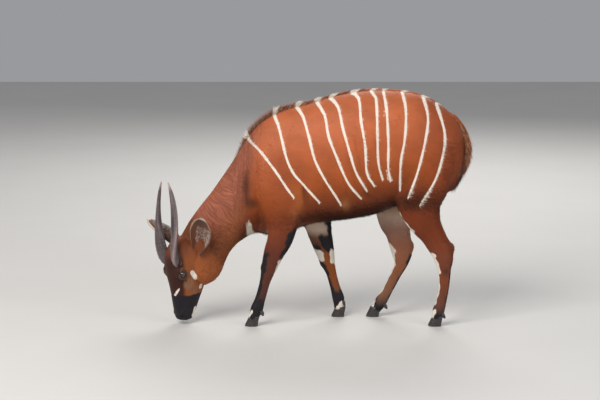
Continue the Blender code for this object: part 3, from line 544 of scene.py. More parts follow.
def line_distance(points, line):
    """Shortest distance to a broken line, and the share of its length where that point lies."""
    line = np.asarray(line, float)
    best = np.full(len(points), 9.0)
    share = np.zeros(len(points))
    lengths = np.linalg.norm(np.diff(line, axis=0), axis=1)
    before = np.concatenate([[0], np.cumsum(lengths)])
    for a, b, length, start in zip(line, line[1:], lengths, before):
        t = np.clip(((points - a) @ (b - a)) / max(length ** 2, 1e-12), 0, 1)
        away = np.linalg.norm(points - a - t[:, None] * (b - a), axis=1)
        closer = away < best
        best = np.where(closer, away, best)
        share = np.where(closer, (start + t * length) / before[-1], share)
    return best, share


def grooves(points, lines):
    """Sum of height times exp(-(distance to the line over its width) squared)."""
    push = np.zeros(len(points))
    for line, width, height in lines:
        push += height * np.exp(-(line_distance(points, line)[0] / width) ** 2)
    return push


print("bells and grooves ready")

# %% Forms of the trunk, the legs and the head
# centre on the left, radii, height
BODY_FORMS = (
    ((0.475, 0.19, 1.135), (0.05, 0.06, 0.05), 0.007),
    ((0.405, 0.22, 1.00), (0.07, 0.09, 0.14), -0.008),
    ((-0.315, 0.12, 0.76), (0.03, 0.08, 0.10), -0.010),
    ((-0.195, 0.15, 0.70), (0.07, 0.06, 0.10), 0.005),
    ((0.50, 0.18, 0.665), (0.05, 0.07, 0.06), 0.008),
    ((0.40, 0.16, 0.66), (0.05, 0.08, 0.05), -0.006),
    ((0.62, 0.20, 0.86), (0.10, 0.06, 0.16), 0.006),
    ((0.735, 0.13, 0.80), (0.04, 0.07, 0.10), -0.005),
    ((-0.02, 0.18, 0.665), (0.035, 0.05, 0.05), 0.006),
    ((0.01, 0.19, 0.83), (0.05, 0.06, 0.16), -0.005),
)
ELBOW_FOLD = ((-0.016, 0.17, 0.760), (-0.010, 0.18, 0.690), (-0.018, 0.18, 0.630),
              (-0.050, 0.16, 0.575))
FLANK_FOLD = ((0.305, 0.21, 0.735), (0.360, 0.20, 0.690), (0.440, 0.19, 0.672), (0.500, 0.18, 0.700))
RIBS, FIRST_RIB, RIB_SPACING = 6, 0.10, 0.052
# line on the left, width, height
BODY_LINES = [
    (ELBOW_FOLD, 0.010, -0.0055), (FLANK_FOLD, 0.009, -0.0040),
    (((-0.09, 0.13, 1.06), (-0.15, 0.16, 0.90), (-0.13, 0.17, 0.78)), 0.022, 0.003),
]
for x in FIRST_RIB + RIB_SPACING * np.arange(RIBS):
    rib = ((x - 0.02, 0.22, 1.02), (x + 0.01, 0.245, 0.88), (x + 0.045, 0.23, 0.75))
    BODY_LINES.append((rib, 0.013, 0.0016))
BODY_LINES.append((((0.552, 0.19, 1.10), (0.60, 0.205, 0.95), (0.655, 0.19, 0.80)), 0.018, -0.002))
# the same along the nose, to the side and out of the forehead: brow, cheek, jaw, nostril
HEAD_FORMS = (
    ((0.070, 0.076, -0.018), (0.020, 0.024, 0.018), 0.005),
    ((0.140, 0.064, -0.040), (0.022, 0.022, 0.030), -0.006),
    ((0.190, 0.055, -0.050), (0.030, 0.030, 0.045), -0.004),
    ((0.150, 0.055, -0.150), (0.035, 0.035, 0.045), 0.004),
    ((0.205, 0.052, -0.110), (0.030, 0.030, 0.030), -0.003),
    ((0.050, 0.040, 0.002), (0.022, 0.022, 0.022), -0.003),
    ((0.322, 0.036, -0.024), (0.009, 0.010, 0.009), -0.015),
)
# tear duct, cheek bone, mouth and nostril slit
HEAD_LINES = (
    (((0.104, 0.082, -0.046), (0.128, 0.070, -0.042), (0.150, 0.062, -0.046)), 0.0045, -0.0045),
    (((0.165, 0.064, -0.075), (0.205, 0.058, -0.090), (0.250, 0.053, -0.085)), 0.006, 0.0018),
    (((0.352, 0.012, -0.070), (0.338, 0.040, -0.078), (0.312, 0.050, -0.087),
      (0.280, 0.050, -0.096), (0.248, 0.050, -0.100), (0.232, 0.050, -0.096)), 0.0034, -0.0055),
    (((0.318, 0.046, -0.018), (0.305, 0.050, -0.026), (0.298, 0.046, -0.040)), 0.0035, -0.004),
)
FORMS, LINES = [], []
for s in (-1, 1):
    FORMS += [((x, s * y, z), radii, height) for (x, y, z), radii, height in BODY_FORMS]
    LINES += [([(x, s * y, z) for x, y, z in line], *rest) for line, *rest in BODY_LINES]
    for name, rows in (("foreleg", slice(9, 12)), ("hindleg", slice(10, 13))):
        path, _, side, _ = LEGS[f"{name}_{'left' if s < 0 else 'right'}"]
        LINES += [(path[rows] * (1, side, 1) + (0.012, edge * 0.030, 0.0), 0.008, -0.0030)
                  for edge in (-1, 1)]
eye = {s: head_point(EYE_PLACE[0], s * EYE_PLACE[1], EYE_PLACE[2]) for s in (-1, 1)}
for s in (-1, 1):
    FORMS += [(head_point(a, s * b, c), radii, height) for (a, b, c), radii, height in HEAD_FORMS]
    LINES += [([head_point(a, s * b, c) for a, b, c in line], *rest) for line, *rest in HEAD_LINES]
LINES += [((head_point(0.352, 0.0, -0.030), head_point(0.350, 0.0, -0.070)), 0.0025, -0.003)]
push = bells(surface, FORMS) + grooves(surface, LINES)
surface = surface + normals * push[:, None]
print("forms", len(FORMS), "lines", len(LINES), "largest push", round(float(np.abs(push).max()), 4))

# %% Open the eye sockets and trim the skin at the coronets
def eye_axes(s):
    """The eye's outward direction, its direction down the nose, and up across the lids."""
    out = unit(s * LEFT * 0.93 + FRONT * 0.36 - DOWN * 0.06)
    along = unit(DOWN - DOWN.dot(out) * out)
    across = np.cross(out, along)
    return out, along, across if across.dot(FRONT) > 0 else -across


for s in (-1, 1):
    out, along, across = eye_axes(s)
    away = surface - eye[s]
    distance = np.linalg.norm(away, axis=1)
    facing = (away @ out) / np.maximum(distance, 1e-9)
    in_cone = (distance < 0.040) & (facing > 0.45)
    wide = np.hypot((away @ along) / 0.0215, (away @ across) / 0.0180)
    sunk = in_cone & (wide < 1.0)
    surface[sunk] = eye[s] + away[sunk] * np.minimum(1.0, 0.86 * EYE_RADIUS / distance[sunk])[:, None]
for name, (path, _, side, hoof_x) in LEGS.items():
    height = surface[:, 2] - (COLLAR_HEIGHT - COLLAR_SLOPE * (surface[:, 0] - hoof_x))
    close = (surface[:, 1] * side > 0) & (np.abs(surface[:, 0] - hoof_x) < 0.09)
    here = (height < 0) & (surface[:, 2] < 0.08) & close
    surface[here, 2] -= height[here] * 0.85
normals = set_skin(surface)

fewer = skin.modifiers.new("fewer", "DECIMATE")
triangles = 2 * len(skin.data.polygons)
fewer.ratio = min(1.0, SKIN_TRIANGLES / triangles)
skin = written(skin)
surface = numbers(skin.data.vertices, "co", 3).astype(float)
normals = numbers(skin.data.vertex_normals, "vector", 3).astype(float)
print("skin triangles", triangles, "->", sum(len(p.vertices) - 2 for p in skin.data.polygons))

# %% [markdown]
# ## Where the colours lie
# The coat's colours are painted as plain numbers at each point of the skin, from where the point lies:
# how high on the barrel, how far round a leg, how far down the nose. Edges that must stay sharp, such
# as the white bands, are stored as distances and cut by the material, so that their edge does not
# depend on how fine the mesh is. The tufts read the same numbers at their roots.

# %% Shares of the head, neck and legs
HEAD_CUT_AT, HEAD_CUT_WAY = np.array((-0.520, 0.0, 0.450)), unit((-0.768, 0.0, -0.640))
NECK_WAY = unit((-0.66, 0.0, -0.75))
THROAT_WAY = unit((-0.75, 0, 0.66))


def head_share(points):
    """1 on the head, falling to 0 across the throat and away from the skull."""
    away = np.linalg.norm(points - HEAD_CENTRE, axis=1)
    return step(-0.03, 0.05, (points - HEAD_CUT_AT) @ HEAD_CUT_WAY) * step(0.42, 0.34, away)


def head_coordinates(points):
    """Length along the nose, distance to the left and distance out of the forehead."""
    away = points - HEAD_ORIGIN
    return away @ DOWN, away @ LEFT, away @ FRONT


def leg_coordinates(points, name):
    """Share of the leg, and angle round it: 0 front, 90 outer side, 180 rear, 270 inner side."""
    path, sections, side, _ = LEGS[name]
    order = np.argsort(path[:, 2])
    z = points[:, 2]
    ahead = np.interp(z, path[order, 2], path[order, 0]) - points[:, 0]
    outer = points[:, 1] * side - np.interp(z, path[order, 2], path[order, 1])
    top = 0.70 if sections is HIND_SECTIONS else 0.61
    share = step(top, top - 0.09, z) * (points[:, 1] * side > 0) * step(0.24, 0.17, np.abs(ahead))
    share = share * step(0.12, 0.085, -outer)
    return share, np.degrees(np.arctan2(outer, ahead)) % 360


def barrel_height(points):
    """0 on the underline and 1 on the back line, from the ring nearest in x."""
    order = np.argsort(BODY[:15, 0])
    top = np.interp(points[:, 0], BODY[:15, 0][order], BODY[:15, 1][order])
    order = np.argsort(BODY[:15, 2])
    low = np.interp(points[:, 0], BODY[:15, 2][order], BODY[:15, 3][order])
    return np.clip((points[:, 2] - low) / (top - low), 0, 1)


print("head points", int((head_share(surface) > 0.5).sum()))

# %% Paths of the white bands
# (x, z) from the back line down, on both sides
BANDS = (
    ((-0.325, 1.010), (-0.293, 0.980), (-0.240, 0.935), (-0.161, 0.835), (-0.109, 0.756),
     (-0.070, 0.703)),
    ((-0.181, 1.135), (-0.153, 1.079), (-0.130, 0.997), (-0.109, 0.913), (-0.074, 0.836),
     (-0.022, 0.776), (0.065, 0.679)),
    ((-0.057, 1.166), (-0.022, 1.125), (0.013, 1.011), (0.039, 0.910), (0.091, 0.808),
     (0.143, 0.728), (0.178, 0.667)),
    ((0.049, 1.194), (0.091, 1.138), (0.112, 1.032), (0.151, 0.932), (0.203, 0.811),
     (0.238, 0.757), (0.282, 0.706)),
    ((0.119, 1.215), (0.161, 1.180), (0.186, 1.076), (0.220, 0.959), (0.255, 0.847), (0.312, 0.748)),
    ((0.228, 1.245), (0.270, 1.221), (0.281, 1.111), (0.302, 0.986), (0.311, 0.847), (0.351, 0.775)),
    ((0.337, 1.252), (0.361, 1.222), (0.366, 1.044), (0.371, 0.899), (0.394, 0.810)),
    ((0.402, 1.246), (0.415, 1.167), (0.423, 1.001), (0.423, 0.863), (0.437, 0.804)),
    ((0.500, 1.249), (0.516, 1.166), (0.510, 1.025), (0.488, 0.896), (0.487, 0.746)),
    ((0.610, 1.227), (0.633, 1.121), (0.615, 0.996), (0.577, 0.841), (0.530, 0.708)),
    ((0.682, 1.183), (0.721, 1.043), (0.711, 0.934), (0.672, 0.805), (0.591, 0.669)),
)
NO_BAND = 9.0


def band_values(points):
    """Signed and plain distance to the nearest band's middle line, over half its width there."""
    flat = points * (1, 0, 1)
    signed, plain = np.full(len(points), NO_BAND), np.full(len(points), NO_BAND)
    wobble = np.random.default_rng(11)
    for side in (-1, 1):
        here = points[:, 1] * side > -0.012
        for band in BANDS:
            line = curve_through(np.array([(x, 0.0, z) for x, z in band]), 0.03)
            if side > 0:
                line = line + np.array((0.010, 0, 0)) * wobble.uniform(-1, 1)
                line = line + np.array((0.004, 0, 0)) * np.sin(line[:, 2:] * 14 + wobble.uniform(0, 6))
            away, share = line_distance(flat[here], line)
            half = ((0.0076 - 0.0020 * share + 0.0009 * np.exp(-(share / 0.06) ** 2))
                    * (1 + 0.12 * np.sin(share * 23 + len(line))))
            order = np.argsort(line[:, 2])
            behind = flat[here, 0] - np.interp(flat[here, 2], line[order, 2], line[order, 0])
            closer = away / half < plain[here]
            signed[here] = np.where(closer, np.sign(behind) * away / half, signed[here])
            plain[here] = np.where(closer, away / half, plain[here])
    return np.clip(signed, -NO_BAND, NO_BAND), np.clip(plain, 0, NO_BAND)


print("bands", len(BANDS), "on each side")

# %% White and black patches
# line on the left and radius
MARKS = (
    (((-0.308, 0.130, 0.625), (-0.312, 0.100, 0.545)), 0.0055),
    (((-0.310, 0.100, 0.545), (-0.302, 0.070, 0.505)), 0.016),
    (((-0.304, 0.070, 0.505), (-0.296, 0.030, 0.488)), 0.020),
)
# the same along the nose, to the side and out of the forehead
HEAD_WHITE = (
    (((0.086, 0.070, -0.098), (0.120, 0.067, -0.120)), 0.0135),
    (((0.152, 0.058, -0.160), (0.182, 0.052, -0.160)), 0.0140),
    (((0.160, 0.052, -0.026), (0.206, 0.014, 0.002)), 0.0090),
    (((0.296, 0.046, -0.116), (0.328, 0.044, -0.100)), 0.0150),
    (((0.320, 0.022, -0.118), (0.338, 0.000, -0.108)), 0.0150),
)
HEAD_DARK = (
    (((0.094, 0.074, -0.044), (0.122, 0.070, -0.046)), 0.006),
    (((0.330, 0.03, -0.03), (0.33, 0.0, -0.03)), 0.02),
)
# leg, lowest z, highest z, middle angle, half spread
LEG_DARK = (
    ("fore", 0.05, 0.400, 0, 58), ("fore", 0.38, 0.540, 178, 44), ("fore", 0.365, 0.455, 226, 52),
    ("fore", 0.02, 0.145, 90, 190), ("hind", 0.10, 0.350, 182, 34), ("hind", 0.02, 0.068, 120, 190),
)
LEG_WHITE = (
    ("fore", 0.305, 0.368, 325, 38), ("fore", 0.290, 0.372, 190, 44), ("fore", 0.030, 0.088, 22, 24),
    ("hind", 0.500, 0.640, 6, 7), ("hind", 0.280, 0.400, 4, 36),
    ("hind", 0.110, 0.300, 4, 22), ("hind", 0.030, 0.092, 8, 44),
)


def leg_stroke(z, angle, low, high, middle, spread, soft=1.0):
    """1 between the heights and within the spread of the angle, with soft and wandering edges."""
    z = z + 0.006 * np.sin(np.radians(angle) * 3 + 40 * low) + 0.003 * np.sin(np.radians(angle) * 8)
    turn = np.abs((angle + 7 * np.sin(z * 55) + 4 * np.sin(z * 140) - middle + 180) % 360 - 180)
    return (step(low - 0.012, low + 0.012, z) * step(high + 0.016 * soft, high - 0.016 * soft, z)
            * step(spread + 18, spread - 18, turn))


def strokes(points, lines, slope):
    """1 within its radius of any line, a half at the radius, over a slope that wide on both sides."""
    found = np.zeros(len(points))
    for line, radius in lines:
        away = line_distance(points, line)[0]
        found = np.maximum(found, step(radius + slope, radius - slope, away))
    return found


def patches(points):
    """White and black fields: above a half is inside, and the slope is about a hair's length."""
    on_head = head_share(points)
    l, s, f = head_coordinates(points)
    local = np.stack([l, np.abs(s), f], 1)
    white = strokes(points * (1, 0, 1) + np.abs(points) * (0, 1, 0), MARKS, 0.006)
    white = np.maximum(white, on_head * strokes(local, HEAD_WHITE, 0.004))
    white = np.maximum(white, on_head * step(0.30, 0.315, l) * step(-0.090, -0.100, f))
    dark = on_head * step(0.200, 0.220, l + 0.25 * np.clip(f + 0.06, -0.02, 0.06))
    dark = np.maximum(dark, on_head * strokes(local, HEAD_DARK, 0.004))
    for name in LEGS:
        share, angle = leg_coordinates(points, name)
        for leg, *stroke in LEG_DARK:
            if name.startswith(leg):
                dark = np.maximum(dark, share * leg_stroke(points[:, 2], angle, *stroke, 2.0))
        for leg, *stroke in LEG_WHITE:
            if name.startswith(leg):
                marked = leg_stroke(points[:, 2], angle, *stroke)
                white = np.maximum(white, step(0, 0.2, share) * marked)
    return white, dark


print("patches", len(MARKS) + len(HEAD_WHITE) + len(LEG_DARK) + len(LEG_WHITE))

# %% Tables of the base colours
# share of the barrel's height from the underline, colour
# darker towards the belly: partly the coat's own dark underside, partly painted shade under the barrel
BARREL_TONES = (
    (0.00, 0.010, 0.003, 0.001), (0.06, 0.055, 0.010, 0.002), (0.16, 0.165, 0.030, 0.004),
    (0.34, 0.290, 0.060, 0.009), (0.58, 0.385, 0.090, 0.026), (0.82, 0.455, 0.116, 0.041),
    (1.00, 0.400, 0.104, 0.036),
)
# path on the left, reach, colour, amount; painted shade along the folds and painted highlights beside
# them
PAINTED_SHADE_AND_LIGHT = (
    (ELBOW_FOLD, 0.026, (0.060, 0.012, 0.003), 0.70),
    (((-0.050, 0.18, 0.730), (-0.045, 0.18, 0.670), (-0.060, 0.17, 0.610)), 0.055,
     (0.430, 0.140, 0.034), 0.34),
    (FLANK_FOLD, 0.022, (0.080, 0.018, 0.005), 0.60),
    (((0.400, 0.19, 0.655), (0.440, 0.18, 0.640)), 0.022, (0.330, 0.110, 0.030), 0.60),
    (((0.455, 0.17, 0.640), (0.470, 0.16, 0.610)), 0.016, (0.030, 0.010, 0.004), 0.80),
)
# place on the face, radius, colour, amount
FACE_SPOTS = (
    ((0.084, 0.075, -0.052), 0.026, (0.170, 0.075, 0.035), 0.75),
    ((0.150, 0.066, -0.080), 0.034, (0.300, 0.150, 0.080), 0.80),
    ((0.060, 0.074, -0.040), 0.015, (0.300, 0.130, 0.060), 0.60),
    ((0.195, 0.058, -0.110), 0.030, (0.260, 0.120, 0.060), 0.60),
    ((0.104, 0.074, -0.046), 0.020, (0.020, 0.010, 0.008), 0.92),
    ((0.128, 0.070, -0.060), 0.012, (0.030, 0.014, 0.010), 0.85),
)
# height, colour
FORE_OUTSIDE = ((0.10, 0.050, 0.020, 0.018), (0.25, 0.100, 0.028, 0.016), (0.42, 0.125, 0.027, 0.012),
                (0.60, 0.230, 0.045, 0.009))
# the chestnut inner tones are partly painted light, raised against the shade on the legs' inner sides
FORE_INSIDE = ((0.12, 0.10, 0.05, 0.03), (0.20, 0.250, 0.064, 0.010), (0.35, 0.260, 0.068, 0.010),
               (0.39, 0.12, 0.035, 0.015), (0.44, 0.18, 0.08, 0.05), (0.48, 0.56, 0.42, 0.33))
HIND_OUTSIDE = ((0.06, 0.035, 0.022, 0.020), (0.12, 0.130, 0.044, 0.026), (0.25, 0.190, 0.046, 0.014),
                (0.36, 0.165, 0.040, 0.018), (0.50, 0.170, 0.030, 0.005), (0.68, 0.190, 0.034, 0.006))
# the chestnut inner tones from about 0.3 m up are partly painted light, raised against the shade there
HIND_INSIDE = ((0.06, 0.04, 0.025, 0.02), (0.12, 0.20, 0.09, 0.05), (0.25, 0.260, 0.090, 0.036),
               (0.40, 0.290, 0.110, 0.060), (0.49, 0.34, 0.18, 0.13), (0.56, 0.52, 0.37, 0.28),
               (0.61, 0.34, 0.20, 0.13), (0.64, 0.030, 0.012, 0.006))
print("shades", len(PAINTED_SHADE_AND_LIGHT), "spots on the face", len(FACE_SPOTS))

# %% Base colours
def layered(colour, layer, amount):
    """The old colour and the new one in the ratio of the amount."""
    return colour + (np.asarray(layer) - colour) * amount[:, None]


def tone(at, table):
    """The colour at each place of a table whose rows are (place, red, green, blue)."""
    rows = np.array(table).T
    return np.stack([np.interp(at, rows[0], row) for row in rows[1:]], 1)


def pairs(points, *spots):
    """Sum of bells of height 1 at each (centre, radii) on the left and its mirror image."""
    return bells(points, [((x, s * y, z), radii, 1) for s in (-1, 1) for (x, y, z), radii in spots])


def face_colours(l, s, f):
    """Chestnut cheeks, a black nose line, and the spots round the eye."""
    face = np.tile((0.270, 0.074, 0.020), (len(l), 1))
    face = layered(face, (0.040, 0.010, 0.006), step(-0.066, -0.044, f) * step(-0.10, -0.04, l))
    face = layered(face, (0.180, 0.050, 0.020), 0.7 * step(0.02, -0.04, l))
    for centre, radius, tint, amount in FACE_SPOTS:
        away = np.linalg.norm(np.stack([l, np.abs(s), f], 1) - centre, axis=1)
        face = layered(face, tint, amount * step(radius * 1.25, radius * 0.6, away))
    return face


def base_colours(points):
    """The coat under its bands and patches: the barrel by its height, then neck, head and legs."""
    colour = tone(barrel_height(points), BARREL_TONES)
    x, y, z = points.T
    # painted shade: the hindquarters above the thighs are darkened
    colour = layered(colour, (0.230, 0.042, 0.007), 0.75 * (step(0.50, 0.72, x) * step(0.62, 0.72, z)))
    shoulder = pairs(points, ((-0.13, 0.14, 0.82), (0.12, 0.2, 0.18)))
    colour = layered(colour, (0.260, 0.058, 0.018), 0.70 * shoulder)
    # painted shade in the elbow and flank folds, painted highlights on the shoulder and below the flank
    # fold
    mirrored = points * (1, 0, 1) + np.abs(points) * (0, 1, 0)
    for line, radius, tint, amount in PAINTED_SHADE_AND_LIGHT:
        colour = layered(colour, tint, amount * step(radius, 0.0, line_distance(mirrored, line)[0]))
    # painted shade in the flank fold
    flank = pairs(points, ((0.47, 0.16, 0.67), (0.05, 0.08, 0.03)))
    colour = layered(colour, (0.060, 0.014, 0.004), 0.7 * np.clip(flank, 0, 1))
    # painted highlight: a lighter patch low on the barrel at mid-length
    girth = pairs(points, ((0.20, 0.2, 0.665), (0.035, 0.1, 0.05)))
    colour = layered(colour, (0.420, 0.160, 0.050), 0.6 * np.clip(girth, 0, 1))
    head = head_share(points)
    neck = step(-0.27, -0.36, x - 0.18 * (z - 0.75)) * (1 - head)
    colour = layered(colour, (0.350, 0.105, 0.056), neck)
    throat = neck * step(0.14, 0.04, (points - (-0.45, 0, 0.40)) @ THROAT_WAY)
    colour = layered(colour, (0.300, 0.092, 0.030), 0.8 * throat)
    # painted shade in the hollows before the shoulder and at the base of the neck
    painted_hollow_shade = pairs(points, ((-0.322, 0.12, 0.75), (0.030, 0.12, 0.12)),
                   ((-0.290, 0.12, 0.665), (0.055, 0.12, 0.045)),
                   ((-0.245, 0.12, 0.570), (0.035, 0.08, 0.030)))
    colour = layered(colour, (0.030, 0.009, 0.004), 0.72 * np.clip(painted_hollow_shade, 0, 1))
    colour = layered(colour, face_colours(*head_coordinates(points)), head)
    for name, (path, *_) in LEGS.items():
        share, angle = leg_coordinates(points, name)
        inner = step(110, 70, np.abs((angle - 270 + 180) % 360 - 180))
        if name.startswith("fore"):
            order = np.argsort(path[:, 2])
            off_line = np.abs(x - np.interp(z, path[order, 2], path[order, 0]))
            inner = inner * step(0.085, 0.050, off_line)
            outside, inside = tone(z, FORE_OUTSIDE), tone(z, FORE_INSIDE)
        else:
            outside, inside = tone(z, HIND_OUTSIDE), tone(z, HIND_INSIDE)
        colour = layered(colour, layered(outside, inside, inner), share)
    hock = pairs(points, ((0.735, 0.135, 0.300), (0.030, 0.03, 0.03)))
    colour = layered(colour, (0.040, 0.014, 0.012), 0.85 * np.clip(hock, 0, 1))
    return np.clip(colour, 0.001, 1)


print("base colour of the flank", np.round(base_colours(np.array([[0.2, -0.2, 0.9]])), 3))

# %% The lie of the hair
def lie_values(points):
    """Own coordinates of the hair: the first runs along it, the others across, mixed by the shares."""
    x, y, z = points.T
    own = np.stack([x * 0.97 - z * 0.25, z * 0.97 + x * 0.25, y], 1)
    along_neck = np.stack([points @ NECK_WAY, points @ np.cross(NECK_WAY, (0, 1, 0)), y], 1)
    own = layered(own, along_neck, step(-0.24, -0.40, x))
    own = layered(own, np.stack(head_coordinates(points), 1), head_share(points))
    for name in LEGS:
        own = layered(own, np.stack([z, x, y], 1), leg_coordinates(points, name)[0])
    return own


def hair_way(points, normals):
    """From nose to tail on the body, down on the legs, laid along the skin."""
    way = np.tile((1.0, 0.0, -0.32), (len(points), 1))
    way = layered(way, (0.62, 0.0, 0.45), step(-0.20, -0.40, points[:, 0]))
    way = layered(way, -DOWN - 0.25 * FRONT, head_share(points))
    for name in LEGS:
        way = layered(way, (0.10, 0.0, -1.0), leg_coordinates(points, name)[0])
    return unit(way - (way * normals).sum(1)[:, None] * normals)


def plain_coat(base, points):
    """Coat values of hair that has no band and no patch."""
    far, none = np.full(len(points), NO_BAND), np.zeros(len(points))
    return {"coat_base": base, "coat_lie": points, "coat_band": far, "coat_band_near": far,
            "coat_white": none, "coat_dark": none}


throat_out = (surface - (-0.45, 0, 0.37)) @ THROAT_WAY
skin_values = {
    "coat_base": base_colours(surface), "coat_lie": lie_values(surface),
    "coat_fold": step(-0.24, -0.34, surface[:, 0] - 0.15 * (surface[:, 2] - 0.75))
    * (1 - head_share(surface)) * step(0.0, 0.05, throat_out),
}
skin_values["coat_band"], skin_values["coat_band_near"] = band_values(surface)
skin_values["coat_white"], skin_values["coat_dark"] = patches(surface)
for name, values in skin_values.items():
    give(skin, name, values)
print("skin attributes", list(skin_values))

# %% [markdown]
# ## Finishes
# Every coat material needs the same three effects: the bands and patches cut out of the base colour,
# the fine grain of short hair, and the creases of loose skin. Each is a node group that is built once.

# %% Small helpers for node trees
def put(tree, kind, values=None, **settings):
    """Adds a node, sets its properties, then its inputs: a wire is linked and a number is set."""
    node = tree.nodes.new(kind)
    for key, value in settings.items():
        setattr(node, key, value)
    for key, value in (values or {}).items():
        if isinstance(value, Wire):
            tree.links.new(value.socket, node.inputs[key])
        else:
            node.inputs[key].default_value = value
    return node


class Wire:
    """A node's output in its tree. Sums and functions of it put further nodes there."""

    def __init__(self, tree, socket):
        self.tree, self.socket = tree, socket

    def onward(self, kind, values, output=0, **settings):
        """The output of a new node that is fed with the values."""
        return Wire(self.tree, put(self.tree, kind, values, **settings).outputs[output])

    def calc(self, operation, other=0.0):
        """One sum on this number and another."""
        return self.onward("ShaderNodeMath", {0: self, 1: other, 2: 0.0}, operation=operation)

    def __add__(self, other):
        return self.calc("ADD", other)

    def __sub__(self, other):
        return self.calc("SUBTRACT", other)

    def __mul__(self, other):
        return self.calc("MULTIPLY", other)

    def __pow__(self, other):
        return self.calc("POWER", other)

    def __abs__(self):
        return self.calc("ABSOLUTE")

    def fade(self, low, high, first=0.0, last=1.0):
        """A soft step from first at low to last at high."""
        return self.onward("ShaderNodeMapRange", {"Value": self, "From Min": low, "From Max": high,
                                                  "To Min": first, "To Max": last},
                           "Result", interpolation_type="SMOOTHSTEP")

    def mix(self, a, b):
        """Colour a where this is 0 and colour b where it is 1."""
        return self.onward("ShaderNodeMix", {0: self, 6: a, 7: b}, 2, data_type="RGBA")

    def times(self, by):
        """A vector with each of its parts multiplied by one of three."""
        return self.onward("ShaderNodeVectorMath", {0: self, 1: by}, operation="MULTIPLY")

    def scaled(self, by):
        """A vector or colour times one number."""
        return self.onward("ShaderNodeVectorMath", {0: self, "Scale": by}, operation="SCALE")

    def parts(self):
        """The three numbers of a vector."""
        return [Wire(self.tree, part)
                for part in put(self.tree, "ShaderNodeSeparateXYZ", {0: self}).outputs]

    def noise(self, scale=1.0, detail=3.0, rough=0.55):
        """Noise between 0 and 1 at this place."""
        return self.onward("ShaderNodeTexNoise", {"Vector": self, "Scale": scale, "Detail": detail,
                                                  "Roughness": rough}, "Fac")

    def bump(self, strength, distance):
        """The normal of a surface with this height."""
        return self.onward("ShaderNodeBump", {"Strength": strength, "Distance": distance,
                                              "Height": self}, "Normal")

    def to(self, socket):
        """Links this to an input."""
        self.tree.links.new(self.socket, socket)


def joined(a, b, c):
    """A vector from three numbers."""
    return a.onward("ShaderNodeCombineXYZ", {0: a, 1: b, 2: c})


def new_group(name, inputs, outputs):
    """An empty node group, its inputs as wires and its outputs."""
    group = bpy.data.node_groups.new(name, "ShaderNodeTree")
    kinds = {"number": "NodeSocketFloat", "colour": "NodeSocketColor", "vector": "NodeSocketVector"}
    for way, labels in (("INPUT", inputs), ("OUTPUT", outputs)):
        for label, kind in labels.items():
            group.interface.new_socket(label, in_out=way, socket_type=kinds[kind])
    given = put(group, "NodeGroupInput").outputs
    made = put(group, "NodeGroupOutput").inputs
    return group, {label: Wire(group, given[label]) for label in inputs}, made


print("node helpers ready")

# %% The coat's pattern as one group
coat_pattern, given, made = new_group(
    "bongo coat pattern",
    {"Base": "colour", "Band": "number", "Band near": "number", "White": "number", "Dark": "number",
     "Lie": "vector", "Ragged": "number"}, {"Colour": "colour"})
torn = (given["Lie"].times((70, 330, 330)).noise(detail=2.0) - 0.5) * given["Ragged"]
in_band = (abs(given["Band"]) + torn).fade(1.12, 0.78) * given["Band near"].fade(2.2, 1.8)
in_white = (given["White"] + torn * 0.8).fade(0.40, 0.60)
in_dark = (given["Dark"] + torn * 0.9).fade(0.18, 0.74)
clouds = given["Lie"].times((7.0, 10.0, 10.0)).noise()
ticking = given["Lie"].times((110, 520, 520)).noise(detail=2.0)
base = given["Base"].scaled(clouds * 0.62 + ticking * 0.42 + 0.46)
white_tint = ticking.mix((0.56, 0.47, 0.38, 1), (0.92, 0.86, 0.77, 1))
black_tint = ticking.mix((0.004, 0.003, 0.005, 1), (0.018, 0.015, 0.020, 1))
colour = in_dark.mix(base, black_tint)
in_band.calc("MAXIMUM", in_white).mix(colour, white_tint).to(made["Colour"])
print("coat pattern group with", len(coat_pattern.nodes), "nodes")

# %% Grain of short hair and creases of loose skin
short_hair, given, made = new_group(
    "grain of short hair", {"Lie": "vector", "Length": "number", "Width": "number"},
    {"Height": "number", "Sheen mask": "number"})
along = given["Lie"].times(joined(given["Length"], given["Width"], given["Width"]))
fine = along.noise(rough=0.6)
broad = along.scaled(0.22).noise(detail=2.0)
(fine * 0.6 + broad * 0.7).to(made["Height"])
fine.to(made["Sheen mask"])

loose_skin, given, made = new_group(
    "creases of loose skin", {"Lie": "vector", "Amount": "number"}, {"Height": "number"})
bent = given["Lie"].times((5.0, 5.0, 5.0)).noise(detail=2.0)
first, second, third = given["Lie"].parts()
creases = joined(first * 62.0 + bent * 9.0, second * 7.0, third * 7.0).noise(detail=2.0)
(abs(creases - 0.5).fade(0.0, 0.16) * given["Amount"]).to(made["Height"])
print("hair and skin groups ready")

# %% Hide and hair materials
def new_material(name, **sockets):
    """A material with its Principled shader's plain values set on its own sockets."""
    material = bpy.data.materials.new(name)
    material.use_nodes = True
    shader = material.node_tree.nodes["Principled BSDF"]
    for key, value in sockets.items():
        shader.inputs[key.replace("_", " ")].default_value = value
    return material, material.node_tree, shader


def feed(shader, **wires):
    """Links a wire to each named socket of the shader."""
    for key, wire in wires.items():
        wire.to(shader.inputs[key.replace("_", " ")])


def attribute(tree, name, output="Fac"):
    """A named attribute of the mesh."""
    return Wire(tree, put(tree, "ShaderNodeAttribute", attribute_name=name).outputs[output])


def own_place(tree):
    """The place in the object's own space."""
    return Wire(tree, put(tree, "ShaderNodeTexCoord").outputs["Object"])


def grouped(tree, group, values):
    """The outputs of a shared effect that is fed with the values."""
    node = put(tree, "ShaderNodeGroup", values, node_tree=group)
    return {socket.name: Wire(tree, socket) for socket in node.outputs}


def coat_colour(tree, ragged):
    """The pattern group's colour, fed with the mesh's own coat attributes."""
    fed = {label: attribute(tree, name) for label, name in (
        ("Band", "coat_band"), ("Band near", "coat_band_near"), ("White", "coat_white"),
        ("Dark", "coat_dark"))}
    fed["Base"] = attribute(tree, "coat_base", "Color")
    fed["Lie"] = attribute(tree, "coat_lie", "Vector")
    return grouped(tree, coat_pattern, {**fed, "Ragged": ragged})["Colour"]


